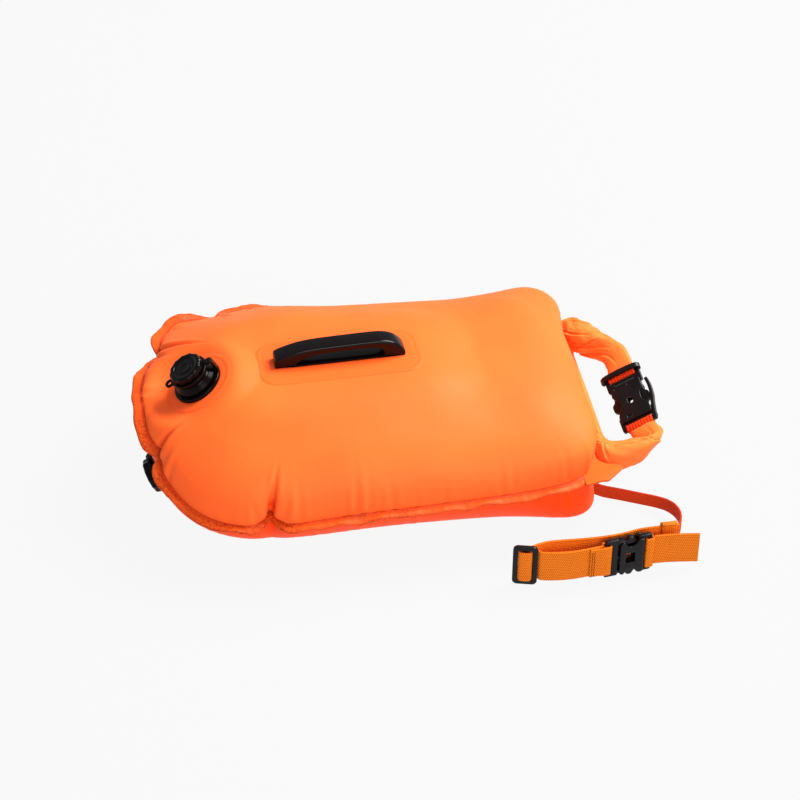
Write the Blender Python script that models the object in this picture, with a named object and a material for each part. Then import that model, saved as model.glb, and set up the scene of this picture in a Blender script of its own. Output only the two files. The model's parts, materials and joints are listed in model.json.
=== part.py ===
# Open water swim buoy: an inflated two chamber dry bag with a roll top, a handle, two valves,
# a leash and a waist belt. Metres, +Z up. +X runs from the closed end to the roll top and
# +Y away from the side where the belt lies. The origin is on the flat that the bag rests on.

import math

import bmesh
import bpy
from mathutils import Matrix, Vector

# Whole bag
SEAM_HEIGHT = 0.062
BAG_HALF_WIDTH = 0.1235
CLOSED_END_X = -0.184
ROLL_END_X = 0.188
WIDEST_X = -0.055
GAP = 0.0003
LAYER_GAP = 0.0006

# Outline of the welded seam, seen from above
CLOSED_END_POWER = 2.6
ROLL_END_POWER = 9.0
ROLL_END_TAPER_SHARE = 0.035
OUTLINE_STEPS = 64
OUTLINE_FINE_STEPS = 600

# Puckers drawn into the seam, by their distance round the outline from the closed tip.
# The front is the -Y side, where the belt lies
BACK_END_PUCKER_ALONG = 0.071
BACK_END_PUCKER_DEPTH = 0.018
BACK_END_PUCKER_SPREAD = 0.012
BACK_SIDE_PUCKER_ALONG = 0.155
BACK_SIDE_PUCKER_DEPTH = 0.012
BACK_SIDE_PUCKER_SPREAD = 0.008
FRONT_END_PUCKER_ALONG = 0.043
FRONT_END_PUCKER_DEPTH = 0.011
FRONT_END_PUCKER_SPREAD = 0.008
FRONT_SIDE_PUCKER_ALONG = 0.168
FRONT_SIDE_PUCKER_DEPTH = 0.017
FRONT_SIDE_PUCKER_SPREAD = 0.0085
PUCKER_FADE_SHARE = 0.62

# The closed end's seam lifts off the floor, most at its tip and more on the +Y side
SIDE_LIFT_START_X = 0.0
SIDE_LIFT_END_X = -0.160
SIDE_LIFT = 0.015
FRONT_TWIST = 0.025
FRONT_TWIST_POWER = 1.2
BACK_TWIST = 0.024
BACK_TWIST_FULL_X = -0.070
TIP_LIFT_START_X = -0.055
TIP_LIFT = 0.019
TIP_LIFT_POWER = 3.0

# Chamber crowns over the spine of the bag
SPINE_START_X = -0.072
SPINE_END_X = 0.098
UPPER_RISE_CLOSED_END = 0.064
UPPER_RISE_ROLL_END = 0.058
UPPER_RISE_EXTRA = 0.007
LOWER_FLATTENING_CLOSED_END = 0.0080
LOWER_FLATTENING_ROLL_END = 0.0010
UPPER_TIP_POWER = 1.45
UPPER_SIDE_POWER = 2.1
UPPER_SIDE_POWER_ROLL_END = 2.2
UPPER_ROLL_POWER = 4.2
LOWER_TIP_POWER = 3.4
LOWER_SIDE_POWER = 1.72
LOWER_SIDE_POWER_ROLL_END = 2.3
LOWER_ROLL_POWER = 6.0
ROLL_END_BULGE = 0.012
BACK_CORNER_FULL_X = -0.110
BACK_CORNER_FULL_Y = 0.060
BACK_CORNER_POWER = 2.0
BACK_CORNER_HEIGHT_POWER = 2.1
CROWN_RINGS = 9
CROWN_LAST_ANGLE_SHARE = 0.93
INNER_RING_SHARE = 0.72

# Sheets between the chambers, which form the empty dry compartment
LINER_THICKNESS = 0.0008
LINER_INSET = 0.003
SEAM_THICKNESS = 0.0024
FLANGE_WIDTH = 0.0095
FLANGE_DROOP = 0.0022
FLANGE_BACK_LIFT = 0.004
FLANGE_BACK_LIFT_X = -0.100
FLANGE_END_INSET = 0.012

# Neck rolled up across the roll end
ROLL_DROP = 0.010
ROLL_HALF_DEPTH = 0.0078
ROLL_HALF_HEIGHT = 0.0130
ROLL_HALF_LENGTH = 0.060
ROLL_SIDES = 20
NECK_THICKNESS = 0.0022
NECK_RUN = 0.0022
NECK_HALF_WIDTH = 0.102
NECK_EAR_REACH = 0.0265
NECK_EAR_WIDTH = 0.0315
STIFFENER_WIDTH = 0.012
STIFFENER_INSET = 0.0006
STIFFENER_THICKNESS = 0.0014
STIFFENER_SLOT_CLEARANCE = 0.0004
ARM_BOW = 0.020
ARM_FOLD_SHARE = 0.30
ARM_FULL_SHARE = 0.60
ARM_FULL_DEPTH = 0.0110
ARM_FULL_HEIGHT = 0.0140
FRONT_ARM_FOLD_SHARE = 0.05
FRONT_ARM_FULL_SHARE = 0.35
FRONT_ARM_FULL_HEIGHT = 0.0165
ARM_TIP_DEPTH = 0.0032
ARM_TIP_HEIGHT = 0.0118

# Carrying handle on the upper chamber
HANDLE_CENTRE_X = -0.016
HANDLE_LENGTH = 0.112
HANDLE_TOP_LENGTH = 0.084
HANDLE_WIDTH = 0.0155
HANDLE_HEIGHT = 0.0175
HANDLE_PLATE = 0.0022
HANDLE_BAR = 0.0055
HANDLE_GAP_LENGTH = 0.078
HANDLE_GAP_TOP_LENGTH = 0.062
HANDLE_BEVEL = 0.0012
HANDLE_PATCH_LENGTH = 0.140
HANDLE_PATCH_WIDTH = 0.056
HANDLE_PATCH_CORNER = 0.016
PATCH_THICKNESS = 0.0009
HANDLE_SEAT_SINK = 0.0016

# Valves, turned about their own axis, upper and lower alike
VALVE_INSET = 0.046
UPPER_VALVE_TILT = math.radians(31)
LOWER_VALVE_INSET = 0.020
VALVE_SINK = 0.0035
LOWER_VALVE_TILT = math.radians(115)
VALVE_PATCH_RADIUS = 0.0315
VALVE_FLANGE_RADIUS = 0.0220
VALVE_FLANGE_THICKNESS = 0.0024
VALVE_BOSS_RADIUS = 0.0120
VALVE_BOSS_DEPTH = 0.0070
VALVE_BORE_RADIUS = 0.0080
VALVE_LEDGE_RADIUS = 0.0052
VALVE_LEDGE_THICKNESS = 0.0016
VALVE_FLAP_THICKNESS = 0.0010
VALVE_BODY_RADIUS = 0.0185
VALVE_BODY_TOP = 0.0110
VALVE_NECK_RADIUS = 0.0112
VALVE_NECK_TOP = 0.0180
SEAL_THICKNESS = 0.0014
SEAL_WIDTH = 0.0024
CAP_RADIUS = 0.0150
CAP_WALL = 0.0034
CAP_TOP = 0.0232
CAP_DISH_DEPTH = 0.0012
CAP_DISH_RADIUS = 0.0105
CAP_GRIPS = 12
CAP_GRIP_RADIUS = 0.0012
SWIVEL_BOTTOM = 0.0144
SWIVEL_TOP = 0.0166
SWIVEL_WALL = 0.0022
CAP_GROOVE_DEPTH = 0.0012
EAR_REACH = 0.0215
EAR_RADIUS = 0.0042
EAR_HOLE_RADIUS = 0.0020
TETHER_WIDTH = 0.0066
TETHER_THICKNESS = 0.0014
TETHER_FOOT_RADIUS = 0.0208
ROUND_SIDES = 40

# Side release buckle on the roll top. Its bar's place is measured from the middle of the roll.
ROLL_BUCKLE_OUT = 0.0368
ROLL_BUCKLE_ALONG = 0.0064
ROLL_BUCKLE_RISE = 0.0200
ROLL_BUCKLE_TURN = math.radians(-83.1)
ROLL_BUCKLE_DIP = math.radians(-18.8)
ROLL_BUCKLE_LEAN = math.radians(32)
ROLL_WEBBING_WIDTH = 0.025
BELT_WEBBING_WIDTH = 0.032
BUCKLE_SIDE_BAR = 0.0040
BUCKLE_BAR = 0.0036
BUCKLE_SLOT = 0.0042
BUCKLE_BAR_THICKNESS = 0.0040
ROLL_BUCKLE_HEAD = 0.0062
ROLL_PRONG_LENGTH = 0.0255
BELT_BUCKLE_HEAD = 0.0042
BELT_PRONG_LENGTH = 0.0165
PRONG_WIDTH = 0.0036
PRONG_THICKNESS = 0.0048
PRONG_LOBE = 0.0034
PRONG_SNOUT_SHARE = 0.16
LOBE_START_SHARE = 0.26
LOBE_END_SHARE = 0.52
PRONG_ROOT_SHARE = 0.62
GUIDE_LENGTH_SHARE = 0.8
GUIDE_WIDTH = 0.0040
PLATE_THICKNESS = 0.0020
SOCKET_CLEARANCE = 0.0005
ROLL_SOCKET_BLOCK = 0.0060
BELT_SOCKET_BLOCK = 0.0040
SOCKET_INSET = 0.0016
LOBE_PROUD = 0.0010
SOCKET_WINDOW_WIDTH = 0.0085
SOCKET_WINDOW_LENGTH_SHARE = 0.42
SOCKET_WINDOW_PLACE_SHARE = 0.5
SOCKET_WAIST_SHARE = 0.3
SOCKET_RAIL_PLACE_SHARE = 0.75

# Webbing
WEBBING_THICKNESS = 0.0016
BAR_LOOP_THICKNESS = 0.0012
LEASH_WIDTH = 0.013
LEASH_THICKNESS = 0.0016

# Leash anchor under the roll end
ANCHOR_END_INSET = 0.0053
ANCHOR_Y = -0.0560
ANCHOR_HEIGHT = 0.0171
ANCHOR_TILT = math.radians(115)
ANCHOR_PATCH_LENGTH = 0.028
ANCHOR_PATCH_WIDTH = 0.034
ANCHOR_PATCH_CORNER = 0.008
ANCHOR_LOOP_WIDTH = 0.016
ANCHOR_LOOP_LENGTH = 0.022
ANCHOR_LOOP_TOP_LENGTH = 0.0073
ANCHOR_LOOP_REACH = 0.0070
ANCHOR_LOOP_THICKNESS = 0.0016

# Waist belt, standing on its edge on the floor
BELT_FLOOR_GAP = 0.0003
TRIGLIDE_HEIGHT_EXTRA = 0.0050
TRIGLIDE_THICKNESS = 0.0034
TRIGLIDE_OUTER_BAR = 0.0042
TRIGLIDE_CENTRE_BAR = 0.0034
TRIGLIDE_LENGTH = 0.0210
TRIGLIDE_X = 0.1030
TRIGLIDE_Y = -0.1612
TRIGLIDE_TURN = math.radians(-15.5)
KEEPER_LENGTH = 0.0140
KEEPER_X = 0.2320
KEEPER_Y = -0.1535
BELT_BUCKLE_X = 0.1800
BELT_BUCKLE_Y = -0.1688
BELT_BUCKLE_TURN = math.radians(5.9)
KEEPER_WALL = 0.0014
KEEPER_CLEARANCE = 0.0005

# Routes of the webbing seen from above. Each is a list chosen by hand.
LEASH_ROUTE = (
    (0.1918, -0.0606, 0.0070),
    (0.1985, -0.0660, 0.0070),
    (0.2044, -0.0704, 0.0070),
    (0.2171, -0.0766, 0.0070),
    (0.2329, -0.0847, 0.0070),
    (0.2445, -0.0913, 0.0074),
    (0.2520, -0.0985, 0.0090),
    (0.2560, -0.1080, 0.0120),
    (0.2572, -0.1180, 0.0155),
    (0.2566, -0.1280, 0.0185),
    (0.2540, -0.1380, 0.0205),
    (0.2490, -0.1462, 0.0212),
    (0.2452, -0.1497, 0.0212),
)
BELT_BACK_ROUTE = (
    (0.1095, -0.1586),
    (0.1140, -0.1597),
    (0.1190, -0.1592),
    (0.1255, -0.1572),
    (0.1350, -0.1557),
    (0.1480, -0.1562),
    (0.1620, -0.1572),
    (0.1760, -0.1577),
    (0.1900, -0.1574),
    (0.2020, -0.1560),
    (0.2110, -0.1542),
    (0.2200, -0.1535),
    (0.2340, -0.1535),
    (0.2480, -0.1535),
)
BELT_FRONT_ROUTE = (
    (0.1238, -0.1671),
    (0.1330, -0.1694),
    (0.1430, -0.1708),
    (0.1540, -0.1712),
    (0.1660, -0.1703),
    (0.1782, -0.1690),
)
BELT_TAIL_ROUTE = (
    (0.2236, -0.1643),
    (0.2340, -0.1647),
    (0.2440, -0.1658),
    (0.2530, -0.1670),
    (0.2620, -0.1684),
)
# Each place of an arm: its share of the way from the roll to the buckle, then how far it lies
# off that line out of the bag, along the roll and upwards, as shares of ARM_BOW
BACK_ARM_SHARES = (
    (0.00, 0.000, 0.00, 0.00),
    (0.05, -0.090, 0.69, 0.03),
    (0.10, -0.160, 1.25, 0.10),
    (0.15, -0.075, 1.66, 0.20),
    (0.20, 0.120, 1.74, 0.30),
    (0.28, 0.150, 1.60, 0.36),
    (0.38, 0.120, 1.33, 0.41),
    (0.50, 0.140, 1.07, 0.41),
    (0.64, 0.180, 0.80, 0.41),
    (0.78, 0.210, 0.51, 0.41),
    (0.90, 0.130, 0.20, 0.24),
    (1.00, 0.000, 0.00, 0.00),
)
FRONT_ARM_SHARES = (
    (0.00, 0.000, 0.00, 0.00),
    (0.03, -0.030, -0.39, 0.05),
    (0.10, 0.000, -0.80, 0.08),
    (0.22, 0.150, -1.08, 0.08),
    (0.42, 0.500, -1.28, 0.06),
    (0.67, 0.720, -1.32, 0.06),
    (0.90, 0.600, -0.90, 0.05),
    (1.00, 0.000, 0.00, 0.00),
)
# Ear of the neck's sheet that runs out beside the front arm, as shares of its reach and width
NECK_EAR_SHARES = (
    (0.00, 0.30),
    (0.07, 0.95),
    (0.25, 1.00),
    (1.00, 0.43),
    (0.89, 0.30),
    (0.40, 0.24),
    (0.07, 0.05),
)


def clear_scene():
    for item in list(bpy.data.objects):
        bpy.data.objects.remove(item, do_unlink=True)


def material(name, colour, roughness, metallic=0.0):
    made = bpy.data.materials.new(name)
    made.use_nodes = True
    shader = made.node_tree.nodes["Principled BSDF"]
    shader.inputs["Base Color"].default_value = (*colour, 1.0)
    shader.inputs["Roughness"].default_value = roughness
    shader.inputs["Metallic"].default_value = metallic
    return made


def add_mesh(name, points, faces, finish, smooth=True, parent=None):
    mesh = bpy.data.meshes.new(name)
    mesh.from_pydata([tuple(point) for point in points], [], faces)
    shape = bmesh.new()
    shape.from_mesh(mesh)
    bmesh.ops.recalc_face_normals(shape, faces=shape.faces)
    shape.to_mesh(mesh)
    shape.free()
    if smooth:
        mesh.shade_smooth()
        mesh.set_sharp_from_angle(angle=math.radians(40))
    made = bpy.data.objects.new(name, mesh)
    made.data.materials.append(finish)
    bpy.context.collection.objects.link(made)
    made.parent = parent
    return made


def add_empty(name, place, turn=(0.0, 0.0, 0.0)):
    made = bpy.data.objects.new(name, None)
    made.location = place
    made.rotation_euler = turn
    bpy.context.collection.objects.link(made)
    return made


def loft(name, rings, finish, smooth=True, parent=None):
    """One closed body through rings of as many points each, with a flat face on both ends."""
    count = len(rings[0])
    points = [point for ring in rings for point in ring]
    faces = []
    for row in range(len(rings) - 1):
        for step in range(count):
            after = (step + 1) % count
            faces.append((row * count + step, row * count + after,
                          (row + 1) * count + after, (row + 1) * count + step))
    faces.append(tuple(reversed(range(count))))
    faces.append(tuple(range((len(rings) - 1) * count, len(rings) * count)))
    return add_mesh(name, points, faces, finish, smooth, parent)


def turned(name, profile, finish, parent, sides=ROUND_SIDES):
    """A ring shaped body from a closed profile of (radius, height) points about local Z."""
    points = []
    faces = []
    rows = len(profile)
    for side in range(sides):
        angle = 2 * math.pi * side / sides
        for radius, height in profile:
            points.append((radius * math.cos(angle), radius * math.sin(angle), height))
    for side in range(sides):
        after = (side + 1) % sides
        for row in range(rows):
            below = (row + 1) % rows
            faces.append((side * rows + row, side * rows + below,
                          after * rows + below, after * rows + row))
    return add_mesh(name, points, faces, finish, True, parent)


def disc(name, profile, finish, parent, sides=ROUND_SIDES):
    """A solid of revolution from an open profile that starts and ends on the axis."""
    rings = []
    for radius, height in profile[1:-1]:
        ring = []
        for side in range(sides):
            angle = 2 * math.pi * side / sides
            ring.append((radius * math.cos(angle), radius * math.sin(angle), height))
        rings.append(ring)
    return loft(name, rings, finish, True, parent)


def extruded(name, outline, low, high, finish, parent=None, smooth=False):
    """A flat outline of (x, y) points raised from low to high along local Z."""
    rings = [[(x, y, low) for x, y in outline], [(x, y, high) for x, y in outline]]
    return loft(name, rings, finish, smooth, parent)


def cut(target, cutter, operation="DIFFERENCE"):
    change = target.modifiers.new(operation.lower(), "BOOLEAN")
    change.object = cutter
    change.operation = operation
    change.solver = "EXACT"
    cutter.hide_render = True
    cutter.display_type = "WIRE"


def round_rectangle(length, width, corner, steps=5):
    """Points round a rectangle with rounded corners, centred on the origin."""
    points = []
    for quarter in range(4):
        side_x = 1 if quarter in (0, 3) else -1
        side_y = 1 if quarter in (0, 1) else -1
        centre_x = side_x * (length / 2 - corner)
        centre_y = side_y * (width / 2 - corner)
        for step in range(steps + 1):
            angle = math.pi / 2 * (quarter + step / steps)
            points.append((centre_x + corner * math.cos(angle), centre_y + corner * math.sin(angle)))
    return points


def smooth_route(route, steps):
    """Points on a Catmull-Rom curve through the route, with the given steps a span."""
    places = [Vector(place) for place in route]
    first = places[0] * 2 - places[1]
    last = places[-1] * 2 - places[-2]
    padded = [first] + places + [last]
    found = []
    for span in range(1, len(padded) - 2):
        before, start, end, after = padded[span - 1:span + 3]
        for step in range(steps):
            t = step / steps
            found.append(0.5 * (2 * start + (end - before) * t
                                + (2 * before - 5 * start + 4 * end - after) * t ** 2
                                + (3 * start - before - 3 * end + after) * t ** 3))
    found.append(padded[-2].copy())
    return found


def ribbon(name, route, width, thickness, finish, steps=3):
    """Flat webbing along a route, standing on its edge."""
    across = Vector((0, 0, 1))
    places = smooth_route(route, steps)
    rings = []
    for index, place in enumerate(places):
        ahead = places[min(index + 1, len(places) - 1)] - places[max(index - 1, 0)]
        face = ahead.cross(across).normalized()
        edge = face.cross(ahead).normalized()
        if edge.dot(across) < 0:
            edge = -edge
        rings.append([place + edge * width / 2 + face * thickness / 2,
                      place - edge * width / 2 + face * thickness / 2,
                      place - edge * width / 2 - face * thickness / 2,
                      place + edge * width / 2 - face * thickness / 2])
    loft(name, rings, finish, False)


# Outline and heights of the bag


def superellipse(share, power):
    return max(0.0, 1.0 - abs(share) ** power) ** (1.0 / power)


def blend(low, high, share):
    eased = min(1.0, max(0.0, share))
    eased = eased * eased * (3.0 - 2.0 * eased)
    return low + (high - low) * eased


def base_outline():
    """Half of the outline without puckers, from the closed tip round to the roll end."""
    closed_reach = WIDEST_X - CLOSED_END_X
    roll_reach = ROLL_END_X - WIDEST_X
    found = []
    for step in range(OUTLINE_FINE_STEPS + 1):
        angle = math.pi * (1.0 - step / OUTLINE_FINE_STEPS)
        if angle > math.pi / 2:
            power = CLOSED_END_POWER
            reach = closed_reach
            taper = 0.0
        else:
            power = ROLL_END_POWER
            reach = roll_reach
            taper = ROLL_END_TAPER_SHARE
        along = math.copysign(abs(math.cos(angle)) ** (2 / power), math.cos(angle))
        beside = math.sin(angle) ** (2 / power)
        narrowing = 1.0 - taper * along * along
        found.append(Vector((WIDEST_X + reach * along, BAG_HALF_WIDTH * beside * narrowing, 0.0)))
    return found


def resampled(line, count):
    """As many points at equal distances along a line, and the distance of each."""
    travelled = [0.0]
    for before, after in zip(line, line[1:]):
        travelled.append(travelled[-1] + (after - before).length)
    found = []
    index = 0
    for step in range(count + 1):
        target = travelled[-1] * step / count
        while index < len(line) - 2 and travelled[index + 1] < target:
            index += 1
        share = (target - travelled[index]) / (travelled[index + 1] - travelled[index])
        found.append((line[index].lerp(line[index + 1], share), target))
    return found


def pucker_pull(distance, puckers):
    return sum(depth * math.exp(-((distance - along) / spread) ** 2) for along, depth, spread in puckers)


BACK_PUCKERS = (
    (BACK_END_PUCKER_ALONG, BACK_END_PUCKER_DEPTH, BACK_END_PUCKER_SPREAD),
    (BACK_SIDE_PUCKER_ALONG, BACK_SIDE_PUCKER_DEPTH, BACK_SIDE_PUCKER_SPREAD),
)
FRONT_PUCKERS = (
    (FRONT_END_PUCKER_ALONG, FRONT_END_PUCKER_DEPTH, FRONT_END_PUCKER_SPREAD),
    (FRONT_SIDE_PUCKER_ALONG, FRONT_SIDE_PUCKER_DEPTH, FRONT_SIDE_PUCKER_SPREAD),
)


class Station:
    """One place on the half outline: its point, outward direction and pucker."""

    def __init__(self, point, outward, distance, back):
        self.point = point
        self.outward = outward
        self.pull = pucker_pull(distance, BACK_PUCKERS if back else FRONT_PUCKERS)
        self.corner = 0.0
        if back:
            self.corner = blend(0.0, 1.0, point.x / BACK_CORNER_FULL_X)
            self.corner = self.corner * min(1.0, point.y / BACK_CORNER_FULL_Y)
        self.spine = Vector((min(max(point.x, SPINE_START_X), SPINE_END_X), 0.0, 0.0))
        reach = (point - self.spine).normalized()
        self.tip_share = max(0.0, -reach.x) ** 5
        self.roll_share = max(0.0, reach.x) ** 2
        self.spine_share = (self.spine.x - SPINE_START_X) / (SPINE_END_X - SPINE_START_X)

    def power(self, tip, side_closed_end, side_roll_end, roll):
        side = side_closed_end + (side_roll_end - side_closed_end) * self.spine_share
        return side + (tip - side) * self.tip_share + (roll - side) * self.roll_share


def stations(back):
    line = resampled(base_outline(), OUTLINE_STEPS)
    points = [place for place, _ in line]
    found = []
    for index, (place, distance) in enumerate(line):
        before = points[index - 1] if index else Vector((points[1].x, -points[1].y, 0.0))
        after = points[index + 1] if index < OUTLINE_STEPS else Vector((points[-2].x, -points[-2].y, 0.0))
        ahead = (after - before).normalized()
        found.append(Station(place, Vector((-ahead.y, ahead.x, 0.0)), distance, back))
    return found


def whole_ring(back, front):
    """A whole ring from the back's places and the front's, both drawn on the +Y side."""
    return back + [Vector((place.x, -place.y, place.z)) for place in reversed(front[1:-1])]


def seam_height(x, y):
    """Height of the welded seam and of the flat sheets inside it, with the closed end lifted."""
    side_reach = max(0.0, (SIDE_LIFT_START_X - x) / (SIDE_LIFT_START_X - SIDE_LIFT_END_X))
    tip_reach = max(0.0, (TIP_LIFT_START_X - x) / (TIP_LIFT_START_X - CLOSED_END_X))
    beside = y / BAG_HALF_WIDTH
    lift = SIDE_LIFT * side_reach
    if beside > 0.0:
        lift = lift + BACK_TWIST * blend(0.0, 1.0, x / BACK_TWIST_FULL_X) * beside
    else:
        lift = lift + FRONT_TWIST * side_reach ** FRONT_TWIST_POWER * beside
    lift = lift + TIP_LIFT * tip_reach ** TIP_LIFT_POWER * (1.0 - beside * beside)
    return SEAM_HEIGHT + lift


def on_seam(place, offset=0.0):
    return Vector((place.x, place.y, seam_height(place.x, place.y) + offset))


def upper_rise(x):
    share = (x - SPINE_START_X) / (SPINE_END_X - SPINE_START_X)
    level = UPPER_RISE_CLOSED_END + (UPPER_RISE_ROLL_END - UPPER_RISE_CLOSED_END) * share
    return level + UPPER_RISE_EXTRA * math.sin(math.pi * min(1.0, max(0.0, share)))


def crown_half(places, row, rise_of, powers, direction):
    """One row of one side, drawn on the +Y side, with its rise over the seam's level as Z."""
    angle = math.pi / 2 * CROWN_LAST_ANGLE_SHARE * row / CROWN_RINGS
    fade = max(0.0, 1.0 - row / CROWN_RINGS / PUCKER_FADE_SHARE) ** 1.5
    swell = min(1.0, 4.0 * angle / math.pi)
    half = []
    for station in places:
        power = station.power(*powers)
        height_power = 2 / power
        bulge = 0.0
        if direction > 0.0:
            height_power = height_power + (BACK_CORNER_HEIGHT_POWER - height_power) * station.corner
            power = power + (BACK_CORNER_POWER - power) * station.corner
            bulge = ROLL_END_BULGE * station.roll_share * 4.0 * swell * (1.0 - swell)
        outward_share = math.cos(angle) ** (2 / power)
        edge = station.point - station.outward * station.pull * fade
        place = station.spine + (edge - station.spine) * outward_share
        place = place + station.outward * bulge
        half.append(Vector((place.x, place.y, math.sin(angle) ** height_power * rise_of(station.spine.x))))
    return half


def crown_rings(places, rise_of, powers, direction, offset):
    """Rings from the seam up or down to the crown of a chamber."""
    rings = []
    for row in range(CROWN_RINGS + 1):
        back, front = (crown_half(side, row, rise_of, powers, direction) for side in places)
        ring = []
        for place in whole_ring(back, front):
            height = seam_height(place.x, place.y) + offset + direction * place.z
            ring.append(Vector((place.x, place.y, max(0.0, height))))
        rings.append(ring)
    return rings


def flat_rings(places, offset, inset=0.0):
    """A ring along the drawn in seam and one on the plain outline well inside it."""
    edge = []
    inner = []
    for side in places:
        edge.append([station.point - station.outward * (station.pull + inset) for station in side])
        inner.append([station.spine + (station.point - station.spine) * INNER_RING_SHARE
                      for station in side])
    return [[on_seam(place, offset) for place in whole_ring(*halves)] for halves in (edge, inner)]


def lower_rise(x):
    share = (x - SPINE_START_X) / (SPINE_END_X - SPINE_START_X)
    return SEAM_HEIGHT + blend(LOWER_FLATTENING_CLOSED_END, LOWER_FLATTENING_ROLL_END, share * 2)


def bag_body(name, rings, finish):
    """A closed body from rings round the long axis, whose end rings are closed side to side."""
    count = len(rings[0])
    points = [point for ring in rings for point in ring]
    faces = []
    for row in range(len(rings) - 1):
        for step in range(count):
            after = (step + 1) % count
            faces.append((row * count + step, row * count + after,
                          (row + 1) * count + after, (row + 1) * count + step))
    for row in (0, len(rings) - 1):
        start = row * count
        for step in range(count // 2):
            near = start + step
            far = start + (count - step) % count
            near_after = start + step + 1
            far_after = start + count - step - 1
            corners = [near, near_after, far_after, far]
            faces.append(tuple(dict.fromkeys(corners)))
    return add_mesh(name, points, faces, finish)


def valve_seat_cutter(name, frame):
    """Cuts the flat seat of a weld patch and the pocket of the valve's boss."""
    depth = VALVE_BOSS_DEPTH + GAP
    reach = VALVE_PATCH_RADIUS
    profile = [(0.0, -depth), (VALVE_BOSS_RADIUS + GAP, -depth), (VALVE_BOSS_RADIUS + GAP, 0.0),
               (VALVE_PATCH_RADIUS + GAP, 0.0), (VALVE_PATCH_RADIUS + GAP, reach), (0.0, reach)]
    return disc(name, profile, FINISHES["cutter"], frame)


def upper_chamber(places, valve_frame):
    powers = (UPPER_TIP_POWER, UPPER_SIDE_POWER, UPPER_SIDE_POWER_ROLL_END, UPPER_ROLL_POWER)
    offset = SEAM_THICKNESS / 2 + LAYER_GAP
    crown = crown_rings(places, upper_rise, powers, 1.0, offset)
    flat = flat_rings(places, offset)
    made = bag_body("upper_chamber", [flat[1]] + crown, FINISHES["shell"])
    cut(made, valve_seat_cutter("upper_valve_seat", valve_frame))
    cut(made, handle_seat_cutter())


def lower_chamber(places, valve_frame, anchor_frame):
    powers = (LOWER_TIP_POWER, LOWER_SIDE_POWER, LOWER_SIDE_POWER_ROLL_END, LOWER_ROLL_POWER)
    offset = -SEAM_THICKNESS / 2 - LAYER_GAP
    crown = crown_rings(places, lower_rise, powers, -1.0, offset)
    flat = flat_rings(places, offset)
    made = bag_body("lower_chamber", [flat[1]] + crown, FINISHES["shell_lower"])
    cut(made, valve_seat_cutter("lower_valve_seat", valve_frame))
    cut(made, anchor_seat_cutter(anchor_frame))


def liners(places):
    """Two thin sheets between the chambers. The dry compartment is the space between them."""
    for name, side in (("compartment_upper_liner", 1.0), ("compartment_lower_liner", -1.0)):
        middle = side * (LAYER_GAP + LINER_THICKNESS) / 2
        top = flat_rings(places, middle + LINER_THICKNESS / 2, LINER_INSET)
        bottom = flat_rings(places, middle - LINER_THICKNESS / 2, LINER_INSET)
        bag_body(name, list(reversed(bottom)) + top, FINISHES["liner"])


def seam_flange(places):
    """The welded edge round the closed end and both sides, drawn in at the puckers."""
    back, front = ([station for station in side if station.point.x < ROLL_END_X - FLANGE_END_INSET]
                   for side in places)
    rings = []
    for mirror, side in ((-1.0, list(reversed(front[1:]))), (1.0, back)):
        for station in side:
            inner = station.point + station.outward * (GAP - station.pull)
            outer = inner + station.outward * FLANGE_WIDTH
            ring = []
            for place, level, lean in ((inner, 1.0, 0.0), (outer, 1.0, 1.0), (outer, -1.0, 1.0),
                                       (inner, -1.0, 0.0)):
                point = Vector((place.x, place.y * mirror, 0.0))
                offset = level * SEAM_THICKNESS / 2 + lean * flange_lean(point)
                ring.append(on_seam(point, offset))
            rings.append(ring)
    return loft("seam_flange", rings, FINISHES["flange"])


def flange_lean(place):
    """How far the flange's outer edge lies over the seam: it hangs but for the closed end's back."""
    beside = min(1.0, max(0.0, place.y / BAG_HALF_WIDTH))
    along = min(1.0, max(0.0, place.x / FLANGE_BACK_LIFT_X))
    return FLANGE_BACK_LIFT * beside * along - FLANGE_DROOP


# Roll top


def ellipse_ring(centre, side, up, half_side, half_up, sides=ROLL_SIDES):
    ring = []
    for step in range(sides):
        angle = 2 * math.pi * step / sides
        ring.append(centre + side * half_side * math.cos(angle) + up * half_up * math.sin(angle))
    return ring


def roll_centre(y=0.0):
    return Vector((ROLL_END_X + GAP + NECK_RUN + ROLL_HALF_DEPTH, y, SEAM_HEIGHT - ROLL_DROP))


def neck_sheet_outline():
    """From the chambers' end out to the middle of the roll, with an ear beside the front arm."""
    near = ROLL_END_X + GAP
    past = near + NECK_RUN - GAP
    middle = roll_centre().x
    inside = ROLL_HALF_LENGTH - GAP
    ear_start = BAG_HALF_WIDTH - NECK_EAR_WIDTH
    ear = [(near + NECK_EAR_REACH * along, -ear_start - (NECK_EAR_WIDTH - FLANGE_WIDTH / 2) * beside)
           for along, beside in NECK_EAR_SHARES]
    return ([(near, NECK_HALF_WIDTH)] + ear
            + [(past, -inside), (middle, -inside), (middle, inside), (past, inside),
               (past, NECK_HALF_WIDTH)])


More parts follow.
